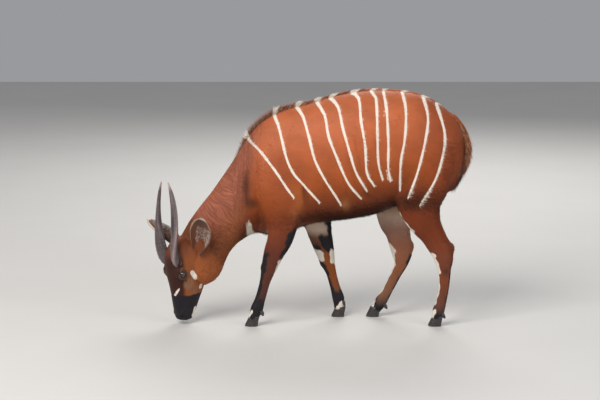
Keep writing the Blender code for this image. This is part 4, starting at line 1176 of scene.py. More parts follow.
hide, tree, shader = new_material(
    "bongo hide", Roughness=0.58, Sheen_Weight=0.05, Sheen_Roughness=0.45,
    Sheen_Tint=(1.0, 0.70, 0.52, 1), Specular_IOR_Level=0.24)
lie, fold = attribute(tree, "coat_lie", "Vector"), attribute(tree, "coat_fold")
hair = grouped(tree, short_hair, {"Lie": lie, "Length": 90.0, "Width": 480.0})
crease = grouped(tree, loose_skin, {"Lie": lie, "Amount": fold})["Height"]
# painted shade: the grooves of the neck's loose skin creases are darkened
shaded = ((fold - crease) * 0.42).mix(coat_colour(tree, 0.9), (0.050, 0.014, 0.008, 1))
feed(shader, Base_Color=shaded, Roughness=hair["Sheen mask"] * 0.22 + 0.46,
     Normal=(hair["Height"] * 0.30 + crease * 0.85).bump(0.75, 0.0028))

tuft_finish, tree, shader = new_material(
    "bongo hair tufts", Roughness=0.55, Sheen_Weight=0.05, Sheen_Roughness=0.4,
    Sheen_Tint=(1.0, 0.72, 0.56, 1), Specular_IOR_Level=0.24)
shade = attribute(tree, "tuft_shade")
feed(shader, Base_Color=coat_colour(tree, 0.25).scaled(shade), Roughness=shade * 0.12 + 0.46)
print("hide and tuft materials ready")

# %% Horn, hoof, eye and ear materials
horn_finish, tree, shader = new_material("twisted horn", Roughness=0.42, Specular_IOR_Level=0.40)
height, around = attribute(tree, "horn_share"), attribute(tree, "horn_around")
streak = joined(height * 3.0, around * 16.0, 0.0).noise(detail=4.0)
rings = joined(height * 46.0, around * 0.9, 0.0).noise()
body = streak.fade(0.30, 0.72).mix((0.030, 0.023, 0.025, 1), (0.200, 0.150, 0.155, 1))
body = (rings.fade(0.44, 0.60) * 0.30).mix(body, (0.030, 0.022, 0.022, 1))
worn = attribute(tree, "horn_keel") * streak.fade(0.30, 0.62, 0.25, 0.85)
body = worn.mix(body, (0.36, 0.27, 0.26, 1))
body = height.fade(0.88, 0.985, 0.0, 0.80).mix(body, (0.50, 0.38, 0.32, 1))
body = height.fade(0.10, 0.0, 0.0, 0.7).mix(body, (0.060, 0.040, 0.034, 1))
feed(shader, Base_Color=body, Roughness=streak.fade(0.2, 0.8, 0.34, 0.56),
     Normal=(rings * 0.6 + streak * 0.7).bump(0.6, 0.0016))

hoof_finish, tree, shader = new_material("hoof wall", Roughness=0.38)
place = own_place(tree)
lines, scuffs = place.times((30, 30, 620)).noise(), place.noise(160.0, 4.0)
low_wear = place.parts()[2].fade(0.012, 0.0)
wall = lines.mix((0.010, 0.009, 0.010, 1), (0.050, 0.043, 0.041, 1))
wall = (scuffs.fade(0.48, 0.66) * (low_wear * 0.6 + 0.25)).mix(wall, (0.14, 0.115, 0.095, 1))
feed(shader, Base_Color=wall, Roughness=scuffs.fade(0.35, 0.70, 0.26, 0.60),
     Normal=(lines + scuffs * 0.4).bump(0.5, 0.0010))

eye_finish, tree, shader = new_material(
    "dark eye", Roughness=0.05, Coat_Weight=1.0, Coat_Roughness=0.02)
reach, level = attribute(tree, "eye_reach"), attribute(tree, "eye_level")
pupil = (reach ** 2.0 + level ** 2.0 * 4.5).fade(0.20, 0.13)
from_gaze = (reach ** 2.0 + level ** 2.0).calc("SQRT")
fibres = joined(reach * 5.0, level * 5.0, 0.0).noise(6.0)
iris = fibres.mix((0.018, 0.007, 0.003, 1), (0.075, 0.030, 0.012, 1))
iris = pupil.mix(iris, (0.002, 0.002, 0.003, 1))
feed(shader, Base_Color=from_gaze.fade(0.70, 0.80).mix(iris, (0.030, 0.018, 0.013, 1)))

lid_finish, tree, shader = new_material("bare lid skin", Roughness=0.5)
out, grain = attribute(tree, "lid_share"), own_place(tree).noise(900.0)
rim = grain.mix((0.010, 0.007, 0.006, 1), (0.034, 0.022, 0.018, 1))
fur = grain.mix((0.030, 0.014, 0.009, 1), (0.095, 0.042, 0.022, 1))
feed(shader, Base_Color=(out + grain * 0.10).fade(0.26, 0.50).mix(rim, fur),
     Roughness=out.fade(0.02, 0.25, 0.22, 0.62), Normal=grain.bump(0.4, 0.0006))

ear_finish, tree, shader = new_material("ear skin and down", Roughness=0.66, Sheen_Weight=0.10)
up, across, face = (attribute(tree, name) for name in ("ear_up", "ear_across", "ear_face"))
edge = abs(across)
rows = joined(up * 14.0, across * 46.0, face).noise()
veins = joined(up * 3.0, across * 3.5, 4.0).noise(detail=2.0)
inside = veins.fade(0.40, 0.62).mix((0.040, 0.014, 0.009, 1), (0.150, 0.060, 0.036, 1))
down = rows.fade(0.52, 0.66) * edge.fade(1.0, 0.2, 0.15, 0.9)
inside = down.mix(inside, (0.55, 0.46, 0.40, 1))
inside = edge.fade(0.72, 0.92, 0.0, 0.85).mix(inside, (0.030, 0.016, 0.012, 1))
outside = rows.mix((0.105, 0.034, 0.015, 1), (0.250, 0.085, 0.034, 1))
outside = up.fade(0.60, 0.95, 0.0, 0.7).mix(outside, (0.045, 0.020, 0.014, 1))
rim = (edge + rows * 0.05).fade(0.955, 0.99) * up.fade(0.45, 0.75)
tip = (up + rows * 0.04).fade(0.925, 0.975)
ear_skin = face.fade(0.45, 0.55).mix(outside, inside)
feed(shader, Base_Color=rim.calc("MAXIMUM", tip).mix(ear_skin, (0.66, 0.52, 0.40, 1)),
     Normal=rows.bump(0.5, 0.0010))
print("hard materials ready")

# %% [markdown]
# ## Eyes and lids
# Each eye is a dark glossy ball sunk to half its depth, with a lid above and below it. The lids are a
# ring: its inner edge is an almond on the ball, its outer edge lies under the face's skin.

# %% Eyeballs and lids
def eyeball(s, rings, count):
    """A ball: circles of radius R sin(latitude) round the gaze, at R cos(latitude) along it."""
    out, along, across = eye_axes(s)
    lat = np.linspace(0.02, math.pi - 0.02, rings)[:, None]
    turn = np.linspace(0, 2 * math.pi, count, endpoint=False)[None]
    return close_tube(eye[s] + EYE_RADIUS * (
        (np.sin(lat) * np.cos(turn))[..., None] * along
        + (np.sin(lat) * np.sin(turn))[..., None] * across
        + (np.cos(lat) * np.ones_like(turn))[..., None] * out))


def lid_ring(s, rows, count):
    """From an almond on the ball (v = 0) to an oval under the skin (v = 1), raised by a lip near 0."""
    out, along, across = eye_axes(s)
    a = np.linspace(0, 2 * math.pi, count, endpoint=False)[None]
    v = np.linspace(0, 1, rows)[:, None]
    x0, y0 = 0.0158 * np.cos(a), np.where(np.sin(a) > 0, 0.0118, 0.0088) * np.sin(a)
    z0 = np.sqrt(np.maximum((EYE_RADIUS + 0.0003) ** 2 - x0 ** 2 - y0 ** 2, 0))
    x1, y1 = 0.0320 * np.cos(a), np.where(np.sin(a) > 0, 0.0260, 0.0270) * np.sin(a)
    z1 = np.where(np.sin(a) > 0, 0.001, -0.003) - 0.004 * np.abs(np.cos(a))
    w = v ** 1.1
    ball = np.sqrt(np.maximum(1 - (v * 1.05) ** 2, 0))
    x, y = x0 + (x1 - x0) * w, y0 + (y1 - y0) * w
    z = z1 + (z0 - z1) * ball
    upper = np.clip(np.sin(a), 0, 1)
    lip = (0.0022 * np.exp(-((v - 0.10) / 0.07) ** 2)
           + (0.0016 + 0.0012 * upper) * np.exp(-((v - 0.33) / 0.12) ** 2))
    crease = -0.0016 * np.exp(-((v - 0.20) / 0.05) ** 2) * (0.4 + 0.6 * upper)
    z = z + np.where(v == 0, -0.0012, 0) + lip + crease
    return eye[s] + x[..., None] * along + y[..., None] * across + z[..., None] * out


def open_grid(grid):
    """Quads of a grid that closes round but not along, both ends left open."""
    rings, count = grid.shape[:2]
    i, j = np.arange(rings - 1)[:, None] * count, np.arange(count)[None]
    k = (j + 1) % count
    quads = np.stack([i + j, i + k, i + k + count, i + j + count], -1).reshape(-1, 4)
    return grid.reshape(-1, 3), quads, np.empty((0, 3), int)


print("eye forms ready")

# %% [markdown]
# ## Horns
# Bongo horns leave the skull side by side, lean back along the line of the face, open and close again
# in one slow twist, and carry a keel that winds round them. The section is an oval with a ridge,
# turned steadily on its way to the pale, worn tip.

# %% Horn surface
def horn_grid(s, count, spacing):
    """An oval, long by short, with a ridge at angle 0, turned by 20 to 170 degrees up the path."""
    rows = curve_through(np.hstack([HORN_PATH, HORN_SECTIONS]), spacing)
    centre = head_point(rows[:, 0], s * rows[:, 1], rows[:, 2])
    share = np.linspace(0, 1, len(rows))
    way = unit(np.gradient(centre, axis=0))
    base = unit(FRONT - (way @ FRONT)[:, None] * way)
    other = np.cross(way, base)
    spin = s * np.radians(20 + 150 * share)[:, None]
    major = base * np.cos(spin) + other * np.sin(spin)
    minor = np.cross(way, major)
    turn = np.linspace(0, 2 * math.pi, count, endpoint=False)[None]
    low_down = (1 - step(0.10, 0.75, share))[:, None]
    rings = 1 + 0.020 * np.sin(2 * math.pi * rows[:, :1] / 0.017) * low_down
    keel = 1 + 0.17 * np.maximum(0, np.cos(turn)) ** 5
    long = rows[:, 3:4] * keel * rings * np.cos(turn)
    short = rows[:, 4:5] * rings * np.sin(turn)
    return centre[:, None] + long[..., None] * major[:, None] + short[..., None] * minor[:, None], share


print("horn form ready")

# %% [markdown]
# ## Ears
# The ears are broad leaves bent into a cup, thick at the root and thin at the edge. The same bend as
# in the solids gives the middle of the leaf; its two faces stand half the thickness from it and meet
# in a rounded edge.

# %% Ear surface
def ear_axes(s):
    """Base, way to the tip, direction that the cup faces, and across."""
    if s > 0:
        base, way, face = head_point(-0.026, 0.104, -0.122), (0.20, -0.40, 0.89), (-0.42, -0.88, -0.05)
    else:
        base, way, face = head_point(-0.026, -0.092, -0.125), (-0.66, 0.30, 0.68), (-0.45, 0.10, -0.60)
    way = unit(way)
    face = unit(np.asarray(face) - np.dot(face, way) * way)
    return base, way, face, np.cross(way, face)


def ear_leaf(s, t, j):
    """Arc of radius r bent through 2 curl, sagging by r (cos(angle) - cos(curl)), t along, j across."""
    base, way, face, across = ear_axes(s)
    rows = curve_through(np.insert(EAR, 1, np.zeros((2, 1)), axis=1), 0.02)
    radius = np.interp(t, rows[:, 0], rows[:, 3])
    curl = np.radians(np.interp(t, rows[:, 0], rows[:, 4]))
    angle = curl * j
    sag = radius * (np.cos(angle) - np.cos(curl))
    return (base + way * (EAR_LENGTH * t - 0.014)[..., None]
            + across * (radius * np.sin(angle))[..., None]
            - face * (sag - 0.010 * t * t)[..., None])


def ear_grid(s, rows, half):
    """Rings that run up the front face from edge to edge and back down the rear face."""
    t = np.linspace(0, 1, rows)[:, None] * np.ones((1, 2 * half))
    across = np.cos(np.linspace(0, math.pi, half))
    j = np.concatenate([across, across[::-1]])[None] * np.ones((rows, 1))
    leaf = ear_leaf(s, t, j * 0.985)
    e = 1e-3
    outside = unit(np.cross(ear_leaf(s, t + e, j) - ear_leaf(s, t - e, j),
                            ear_leaf(s, t, j + e) - ear_leaf(s, t, j - e)))
    side = np.concatenate([np.ones(half), -np.ones(half)])[None]
    edge = np.sqrt(np.maximum(1 - j ** 2, 0.0)) * np.sqrt(np.maximum(1 - (2 * t - 1) ** 12, 0.02))
    thick = (0.0034 - 0.0018 * t) * (0.25 + 0.75 * edge)
    return leaf + outside * (side * thick)[..., None]


print("ear form ready")

# %% [markdown]
# ## Tail and hooves
# The tail is a bony tube under its hair. A hoof is two claws: a flat sole, a wall that leans back to
# the coronet and a rounded heel, each with growth lines, and two small dewclaws behind the fetlock.

# %% Tail core, claws and dewclaws
def tail_core():
    """The tail's path with an oval section, thinner than its hair."""
    rows = curve_through(TAIL, 0.012)
    across, along = path_frames(rows[:, :3])
    shrink = 0.62 - 0.15 * np.linspace(0, 1, len(rows))
    depth, width = rows[:, 3] * shrink, rows[:, 4] * shrink
    return close_tube(ring_tube(rows[:, :3], across, along, depth, width, 2.1, 0, 20))


def claw_shape(centre_x, y, inner, count=40):
    """Sole outline: reach -0.034 cos, half 0.0135 sin^0.75, narrowed to the toe; scaled and moved back
    as it rises."""
    turn = np.linspace(0, 2 * math.pi, count, endpoint=False)
    c, s = np.cos(turn), np.sin(turn)
    front = np.maximum(0, c)
    reach = -0.034 * c
    across = (0.0135 * np.sign(s) * np.abs(s) ** 0.75 * (1 - 0.55 * front ** 2.2)
              - inner * 0.004 * front ** 1.5)
    heights = np.array((0.0, 0.0, 0.002, 0.005, 0.010, 0.016, 0.022, 0.028, 0.034, 0.040, 0.046, 0.054))
    size = np.interp(heights, (0.0, 0.004, 0.026, 0.060), (1.0, 1.015, 0.90, 0.76))
    size[0], size[1] = 0.90, 0.975
    shift = np.interp(heights, (0.0, 0.004, 0.026, 0.060), (0.0, 0.0006, 0.0075, 0.019))
    size = size * (1 + 0.008 * np.sin(heights * 1100))
    grid = np.stack([
        centre_x + shift[:, None] + size[:, None] * reach,
        y + across * (0.35 + 0.65 * size[:, None]),
        np.tile(heights[:, None], (1, count)),
    ], -1)
    grid[0, :, 2] = 0.0012
    grid[1, :, 2] = 0.0
    return close_tube(grid)


def dewclaw_shape(place, side):
    """A blunt cone along one line: radii 0.0088, 0.0092, 0.0082 and 0.0045 closed with a round end."""
    way = unit((0.60, side * 0.12, -0.80))
    share = np.linspace(-0.5, 1.0, 14)
    radius = np.interp(share, (-0.5, 0.0, 0.55, 0.9, 1.0), (0.0086, 0.0092, 0.0082, 0.0052, 0.0018))
    line = place + way * (0.0240 * share)[:, None]
    across, along = path_frames(line)
    return close_tube(ring_tube(line, across, along, radius, radius * 0.9, 2.0, 0, 18))


print("tail and hoof forms ready")

# %% The skin and hard pieces with their finishes
skin.data.materials.clear()
skin.data.materials.append(hide)
skin.data.vertices.foreach_set("co", (surface + SHIFT).astype(np.float32).ravel())
skin.data.polygons.foreach_set("use_smooth", np.ones(len(skin.data.polygons), bool))
skin.data.update()
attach(skin, "root")
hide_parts("torso", "neck", "head", "foreleg_left", "foreleg_right", "hindleg_left", "hindleg_right")


def stands_for(made, slot, *nodes):
    """Rides on the one body and replaces its solids; the slot is not used."""
    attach(made, "root")
    if nodes:
        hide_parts(*nodes)
    return made


def tube_values(rings, around):
    """Values over the rings times those round them, and the end rings' means for the two poles."""
    values = np.asarray(rings)[:, None] * np.asarray(around)[None]
    return np.concatenate([values.ravel(), [values[0].mean(), values[-1].mean()]])


LID_ROWS, LID_COUNT = 30, 72
HORN_COUNT, HORN_SPACING = 48, 0.0035
EAR_ROWS, EAR_HALF = 56, 28
WORDS = {-1: "right", 1: "left"}
for s, word in WORDS.items():
    ball = stands_for(piece(f"eyeball_{word}", eyeball(s, 28, 40), eye_finish), "eye", f"eye_{word}")
    out = eye_axes(s)[0]
    level = unit(np.cross(out, (0, 0, 1.0)))
    away = (numbers(ball.data.vertices, "co", 3) - SHIFT - eye[s]) / EYE_RADIUS
    give(ball, "eye_reach", away @ level)
    give(ball, "eye_level", away @ np.cross(level, out))
    ring = open_grid(lid_ring(s, LID_ROWS, LID_COUNT))
    lids = stands_for(piece(f"lids_{word}", ring, lid_finish), "face_coat")
    give(lids, "lid_share", np.repeat(np.linspace(0, 1, LID_ROWS), LID_COUNT))

    grid, share = horn_grid(s, HORN_COUNT, HORN_SPACING)
    horn = piece(f"horn_surface_{word}", close_tube(grid), horn_finish)
    stands_for(horn, "horn", f"horn_{word}")
    turn = np.linspace(0, 2 * math.pi, HORN_COUNT, endpoint=False)
    level_ring, every_ring = np.ones(HORN_COUNT), np.ones(len(share))
    give(horn, "horn_share", tube_values(share, level_ring))
    give(horn, "horn_around", tube_values(every_ring, np.abs((turn / math.pi + 0.5) % 2 - 1)))
    give(horn, "horn_keel", tube_values(every_ring, np.maximum(0, np.cos(turn)) ** 8))

    leaf = close_tube(ear_grid(s, EAR_ROWS, EAR_HALF))
    ear = stands_for(piece(f"ear_leaf_{word}", leaf, ear_finish), "ear_coat", f"ear_{word}")
    across = np.cos(np.linspace(0, math.pi, EAR_HALF))
    every_ring = np.ones(EAR_ROWS)
    give(ear, "ear_up", tube_values(np.linspace(0, 1, EAR_ROWS), np.ones(2 * EAR_HALF)))
    give(ear, "ear_across", tube_values(every_ring, np.concatenate([across, across[::-1]])))
    give(ear, "ear_face", tube_values(every_ring, np.repeat((1.0, 0.0), EAR_HALF)))
shape = tail_core()
tail = stands_for(piece("tail_core", shape, hide), "tail_hair", "tail")
count = len(shape[0])
plain = plain_coat(np.tile((0.30, 0.095, 0.035), (count, 1)), shape[0])
for key, value in {**plain, "coat_fold": np.zeros(count)}.items():
    give(tail, key, value)
for name, (path, _, side, hoof_x) in LEGS.items():
    short = name.replace("leg", "")
    ankle = path[-3] if name.startswith("hind") else path[-4]
    for inner in (-1, 1):
        spot = "inner" if inner * side < 0 else "outer"
        claw = claw_shape(hoof_x, side * 0.112 + inner * 0.0152, inner)
        place = np.array((ankle[0] + 0.022, side * 0.113 + inner * 0.0150, ankle[2] - 0.016))
        dew = dewclaw_shape(place, inner)
        for word, shape, node in (("hoof", claw, "claw"), ("dew", dew, "dewclaw")):
            made = piece(f"{word}_{short}_{spot}", shape, hoof_finish)
            stands_for(made, "hoof", f"{node}_{short}_{spot}")
print("hard pieces made")

# %% [markdown]
# ## The coat as tufts
# Short fur lies flat, and most of it is the grain of the hide; over it lie thousands of tufts, which
# break the outline and catch the light. A tuft is a closed spike of three-cornered rings and a tip:
# particles or hair curves would be quicker to lay, but solid tufts stay in the model when it is
# exported. They are all made at once from arrays of roots, normals and ways.

# %% One array of tufts
def tuft_shape(roots, normals, ways, length, width, lift, curl, sink, rings=2, droop=0.0):
    """Ring k stands at share k/rings of the bent line root + rise L t + bend L t², half as wide as it
    began near the tip, where all three corners meet."""
    n = len(roots)
    length, width, lift = (np.broadcast_to(np.asarray(v, float), (n,))[:, None]
                           for v in (length, width, lift))
    ways = unit(ways - (ways * normals).sum(1)[:, None] * normals)
    side = np.cross(normals, ways)
    rise = ways * np.cos(lift) + normals * np.sin(lift)
    bend = -normals * curl + np.array((0, 0, -1.0)) * droop
    share = np.arange(rings + 1) / rings
    straight, bent = (length[:, :, None] * share[None, :, None] ** power for power in (1, 2))
    line = roots[:, None] - normals[:, None] * sink + rise[:, None] * straight + bend[:, None] * bent
    corners = np.array(((-0.5, 0.0), (0.5, 0.0), (0.0, 0.42)))
    taper = (1 - share[:-1] ** 1.7) * (0.75 + 0.5 * np.minimum(share[:-1] * 2.5, 0.5))
    wide = width[:, :, None] * taper[None, :, None]
    spread = (side[:, None, None] * (corners[:, 0] * wide)[..., None]
              + normals[:, None, None] * (corners[:, 1] * wide)[..., None])
    points = np.concatenate([(line[:, :-1, None] + spread).reshape(n, -1, 3), line[:, -1:]], 1)
    per, last, k = 3 * rings + 1, 3 * (rings - 1), np.arange(3)
    after = (k + 1) % 3
    ring = np.stack([k, after, 3 + after, 3 + k], 1)
    quads = np.concatenate([3 * r + ring for r in range(rings - 1)])
    tris = np.vstack([np.stack([last + k, last + after, np.full(3, per - 1)], 1), [[2, 1, 0]]])
    step_up = (np.arange(n) * per)[:, None, None]
    shares = np.concatenate([np.repeat(share[:-1], 3), [1.0]])
    flat = np.column_stack([np.tile(corners[:, 0], rings),
                            np.repeat(share[:-1], 3) + 0.2 * np.tile(corners[:, 1], rings)])
    shape = (points.reshape(-1, 3), (quads[None] + step_up).reshape(-1, 4),
             (tris[None] + step_up).reshape(-1, 3))
    return shape, shares, np.vstack([flat, [[0.0, 1.1]]])


def bake_place(points):
    """Where a root lies on the skin laid flat: along and round the barrel, the head and each leg."""
    line = curve_through(BODY, 0.02)
    top, low = line[:, (0, 1)], line[:, (2, 3)]
    middle = (top + low) / 2
    at = ((points[:, None, (0, 2)] - middle[None]) ** 2).sum(2).argmin(1)
    rise = ((points[:, (0, 2)] - middle[at]) * unit(top - low)[at]).sum(1)
    turn = (np.arctan2(rise, points[:, 1] - line[at, 4]) / (2 * math.pi)) % 1.0
    place = np.stack([0.02 + 0.60 * at / len(line), 0.02 + 0.96 * turn], 1)
    on_head = head_share(points) > 0.5
    l, s, f = head_coordinates(points)
    turn = (np.arctan2(f + 0.11, s) / (2 * math.pi)) % 1.0
    along = 0.65 + 0.15 * np.clip((l + 0.1) / 0.46, 0, 1)
    place[on_head] = np.stack([along, 0.02 + 0.46 * turn], 1)[on_head]
    along = 0.83 + 0.14 * np.clip(points[:, 2] / 0.7, 0, 1)
    for k, name in enumerate(LEGS):
        share, angle = leg_coordinates(points, name)
        on_leg = share > 0.5
        place[on_leg] = np.stack([along, 0.01 + 0.245 * k + 0.22 * angle / 360], 1)[on_leg]
    return place


def hair_piece(name, roots, normals, ways, values, length, width, lift, curl, sink, rings=2, droop=0.0,
               tip_light=1.12, seed=1, body=True):
    """A joined mesh of tufts that carries its roots' coat values and the OFBake map."""
    shape, shares, flat = tuft_shape(
        roots, normals, ways, length, width, lift, curl, sink, rings, droop)
    made = piece(name, shape, tuft_finish)
    for key, value in values.items():
        give(made, key, np.repeat(value, len(shares), axis=0))
    rng = np.random.default_rng(seed)
    shade = rng.uniform(0.90, 1.12, len(roots))[:, None] * (0.96 + (tip_light - 0.96) * shares[None])
    give(made, "tuft_shade", shade.ravel())
    if body:
        place = bake_place(roots)
    else:
        place = np.array((0.72, 0.75)) + 0.1 * (rng.random((len(roots), 2)) - 0.5)
    spots = (place[:, None] + 0.003 * (flat[None] - (0.0, 0.5))).reshape(-1, 2)
    layer = made.data.uv_layers.new(name="OFBake")
    corner = numbers(made.data.loops, "vertex_index", 1, np.int32)
    layer.data.foreach_set("uv", spots[corner].astype(np.float32).ravel())
    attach(made, "root")
    print(name, len(roots), "tufts", len(shape[1]) * 2 + len(shape[2]), "triangles")
    return made


def stray(rng, amount, count):
    """A small random turn for each tuft's way."""
    return amount * rng.standard_normal((count, 3))


print("tuft maker ready")

# %% Roots spread over the skin
skin.data.calc_loop_triangles()
skin_faces = numbers(skin.data.loop_triangles, "vertices", 3, np.int32)
corner = surface[skin_faces]
sides = np.cross(corner[:, 1] - corner[:, 0], corner[:, 2] - corner[:, 0])
face_area = np.linalg.norm(sides, axis=1) / 2
thin = 1.0


def scatter(weight, count, seed):
    """Roots drawn in step along the running sum of area times weight, then anywhere in the triangle."""
    rng = np.random.default_rng(seed)
    running = np.cumsum(face_area * weight[skin_faces].mean(1))
    count = int(count * thin)
    drawn = (np.arange(count) + rng.random(count)) / count * running[-1]
    chosen = np.minimum(np.searchsorted(running, drawn), len(running) - 1)
    u, v = rng.random(count), rng.random(count)
    over = u + v > 1
    u, v = np.where(over, 1 - u, u), np.where(over, 1 - v, v)
    share = np.stack([1 - u - v, u, v], 1)[..., None]
    corners = skin_faces[chosen]
    roots = (surface[corners] * share).sum(1)
    upright = unit((normals[corners] * share).sum(1))
    values = {key: (skin_values[key][corners] * share).sum(1) for key in ("coat_base", "coat_lie")}
    values["coat_band"] = values["coat_band_near"] = band_values(roots)[1]
    values["coat_white"], values["coat_dark"] = patches(roots)
    return roots, upright, values, rng


print("skin faces", len(skin_faces), "area", round(float(face_area.sum()), 3), "square metres")

# %% Short coat of the barrel and neck
def by_bands(values):
    """Half length beside a band, so that no tuft covers its white."""
    return 1 - 0.5 * step(1.0, 0.0, np.abs(values["coat_band_near"] - 2.2) / 1.6)


head_part = head_share(surface)
leg_part = np.max([leg_coordinates(surface, name)[0] for name in LEGS], axis=0)
trunk_part = (1 - head_part) * (1 - leg_part)
TUFTS_PER_METRE = 15500 / 0.62
PARTS = (("shoulder", -0.9, 0.10), ("flank", 0.10, 0.46), ("rump", 0.46, 0.90))
for word, side in (("near", -1), ("far", 1)):
    half = np.where(surface[:, 1] * side > -0.004, trunk_part, 0.0)
    for part, (part_name, low, high) in enumerate(PARTS):
        weight = half * (surface[:, 0] >= low) * (surface[:, 0] < high)
        count = TUFTS_PER_METRE * float((face_area * weight[skin_faces].mean(1)).sum())
        roots, upright, values, rng = scatter(weight, count, 20 + part + 5 * side)
        count = len(roots)
        way = hair_way(roots, upright) + stray(rng, 0.16, count)
        low_down = step(0.22, 0.02, barrel_height(roots))
        length = rng.uniform(0.012, 0.019, count) * (1 + 0.5 * low_down) * by_bands(values)
        lift = rng.uniform(0.04, 0.12, count) + 0.20 * low_down
        hair_piece(f"coat_{word}_{part_name}", roots, upright, way, values, length,
                   rng.uniform(0.0020, 0.0031, count), lift, 0.10, 0.0006, seed=3 + part)

# %% Short coat of the legs and face
def laid(name, ground, strayed, length, stretch, width, lift, curl, sink, **more):
    """Draws the ways' turns, the lengths, the widths and the lifts, each between its two limits."""
    roots, upright, values, rng = ground
    way = hair_way(roots, upright) + stray(rng, strayed, len(roots))
    length, width, lift = (rng.uniform(*limits, len(roots)) for limits in (length, width, lift))
    length = length * stretch
    return hair_piece(name, roots, upright, way, values, length, width, lift, curl, sink, **more)


for name in LEGS:
    share = leg_coordinates(surface, name)[0]
    weight = share * (surface[:, 2] > 0.040) * (1 + 0.9 * step(0.50, 0.30, surface[:, 2]))
    ground = scatter(weight, 8200, 60 + len(name))
    stretch = (1 + 0.3 * step(0.3, 0.6, ground[0][:, 2])) * by_bands(ground[2])
    laid(f"coat_{name}", ground, 0.12, (0.007, 0.0115), stretch, (0.0013, 0.0021), (0.05, 0.15),
         0.08, 0.0004, seed=9)
l, s, f = head_coordinates(surface)
clear = np.ones(len(surface))
for side in (-1, 1):
    clear *= step(0.020, 0.026, np.linalg.norm(surface - eye[side], axis=1))
furred = np.clip(step(0.318, 0.300, l) + step(-0.060, -0.085, f), 0, 1)
ground = scatter(head_part * clear * furred, 18500, 77)
nearer_nose = step(0.0, 0.22, (ground[0] - HEAD_ORIGIN) @ DOWN)
laid("coat_face", ground, 0.14, (0.0055, 0.0085), 1 - 0.35 * nearer_nose, (0.0011, 0.0018),
     (0.03, 0.11), 0.08, 0.0004, seed=12)

# %% [markdown]
# ## Long hair
# The crest stands up to six centimetres at the withers and lies shorter and flatter towards the rump;
# it is white where a band runs into it. Longer hair also hangs under the belly and throat, behind the
# elbows and thighs, round each coronet and from the tail.

# %% Crest along the spine
x, y, z = surface.T
spine = trunk_part * step(0.026, 0.008, np.abs(y)) * (normals[:, 2] > 0.15) * step(0.74, 0.66, x)
spine = spine * step(-0.40, -0.30, x) * (z > 0.85) * (1 + 1.2 * step(0.1, -0.2, x))
roots, upright, values, rng = scatter(spine, 5200, 101)
count = len(roots)
x = roots[:, 0]
tall = np.interp(x, (-0.40, -0.30, -0.16, 0.0, 0.25, 0.55, 0.74),
                 (0.012, 0.048, 0.056, 0.040, 0.033, 0.026, 0.012))
central = step(0.024, 0.004, np.abs(roots[:, 1]))
length = tall * (0.40 + 0.60 * central) * rng.uniform(0.55, 1.15, count)
lean = np.interp(x, (-0.40, -0.20, 0.10, 0.74), (1.10, 0.95, 0.62, 0.30)) * (0.6 + 0.4 * central)
lean = np.clip(lean + 0.10 * rng.standard_normal(count), 0.15, 1.35)
way = np.array((1.0, 0.0, 0.0)) + stray(rng, 0.20, count)
pale = (rng.random(count) < np.interp(x, (-0.35, -0.1, 0.3, 0.7), (0.34, 0.30, 0.16, 0.06)))[:, None]
base = np.where(pale, (0.46, 0.32, 0.22), values["coat_base"] * (0.62, 0.55, 0.60))
values["coat_base"] = np.where((x > 0.30)[:, None] & ~pale, base * 1.9, base)
values["coat_band"] = values["coat_band_near"] = values["coat_band_near"] * 0.66
hair_piece("crest", roots, upright, way, values, length, rng.uniform(0.0014, 0.0022, count), lean,
           0.05, 0.001, rings=4, droop=0.10, tip_light=1.35, seed=21)

# %% Belly, throat, chest and thigh fringes
x, y, z = surface.T
under = trunk_part * (barrel_height(surface) < 0.10) * (normals[:, 2] < -0.35)
under = under * (x > -0.30) * (x < 0.60)
roots, upright, values, rng = scatter(under, 5200, 131)
count = len(roots)
length = rng.uniform(0.014, 0.022, count) * (1 + 0.7 * step(0.10, 0.02, np.abs(roots[:, 1])))
way = np.array((1.0, 0.0, -0.4)) + stray(rng, 0.2, count)
hair_piece("belly_fringe", roots, upright, way, values, length, rng.uniform(0.0018, 0.0028, count),
           rng.uniform(0.35, 0.75, count), 0.12, 0.001, rings=3, seed=23)
throat = (throat_out < 0.035) * (x < -0.26) * (normals[:, 2] < 0.1) * (1 - 0.7 * head_part) * (z > 0.2)
throat = throat * (head_coordinates(surface)[0] < 0.16)
laid("throat_hair", scatter(throat, 3600, 141), 0.25, (0.012, 0.021), 1.0, (0.0015, 0.0024), (0.2, 0.5),
     0.12, 0.001, rings=3, droop=0.1, seed=25)
edges_of_limbs = trunk_part * (x > 0.70) * (z < 1.0) * 0.5
for name in LEGS:
    share, angle = leg_coordinates(surface, name)
    rear = share * step(50, 20, np.abs(angle - 180)) * (z > (0.30 if name.startswith("fore") else 0.34))
    cuff = 1.6 * (share * step(0.062, 0.046, z))
    edges_of_limbs = np.max([edges_of_limbs, rear, cuff], axis=0)
ground = scatter(edges_of_limbs, 6400, 151)
stretch = np.interp(ground[0][:, 2], (0.03, 0.07, 0.3, 0.6), (0.0105, 0.010, 0.013, 0.018))
laid("limb_fringes", ground, 0.18, (0.8, 1.15), stretch, (0.0012, 0.0020), (0.15, 0.38), 0.10, 0.0006,
     rings=3, droop=0.08, seed=27)

# %% [markdown]
# ## Hair of the tail, the ears and the lids
# These hairs stand on pieces of their own and not on the skin, so their roots are worked out from the
# same curves as those pieces. They have no bands and no patches, and each gets its colour directly.

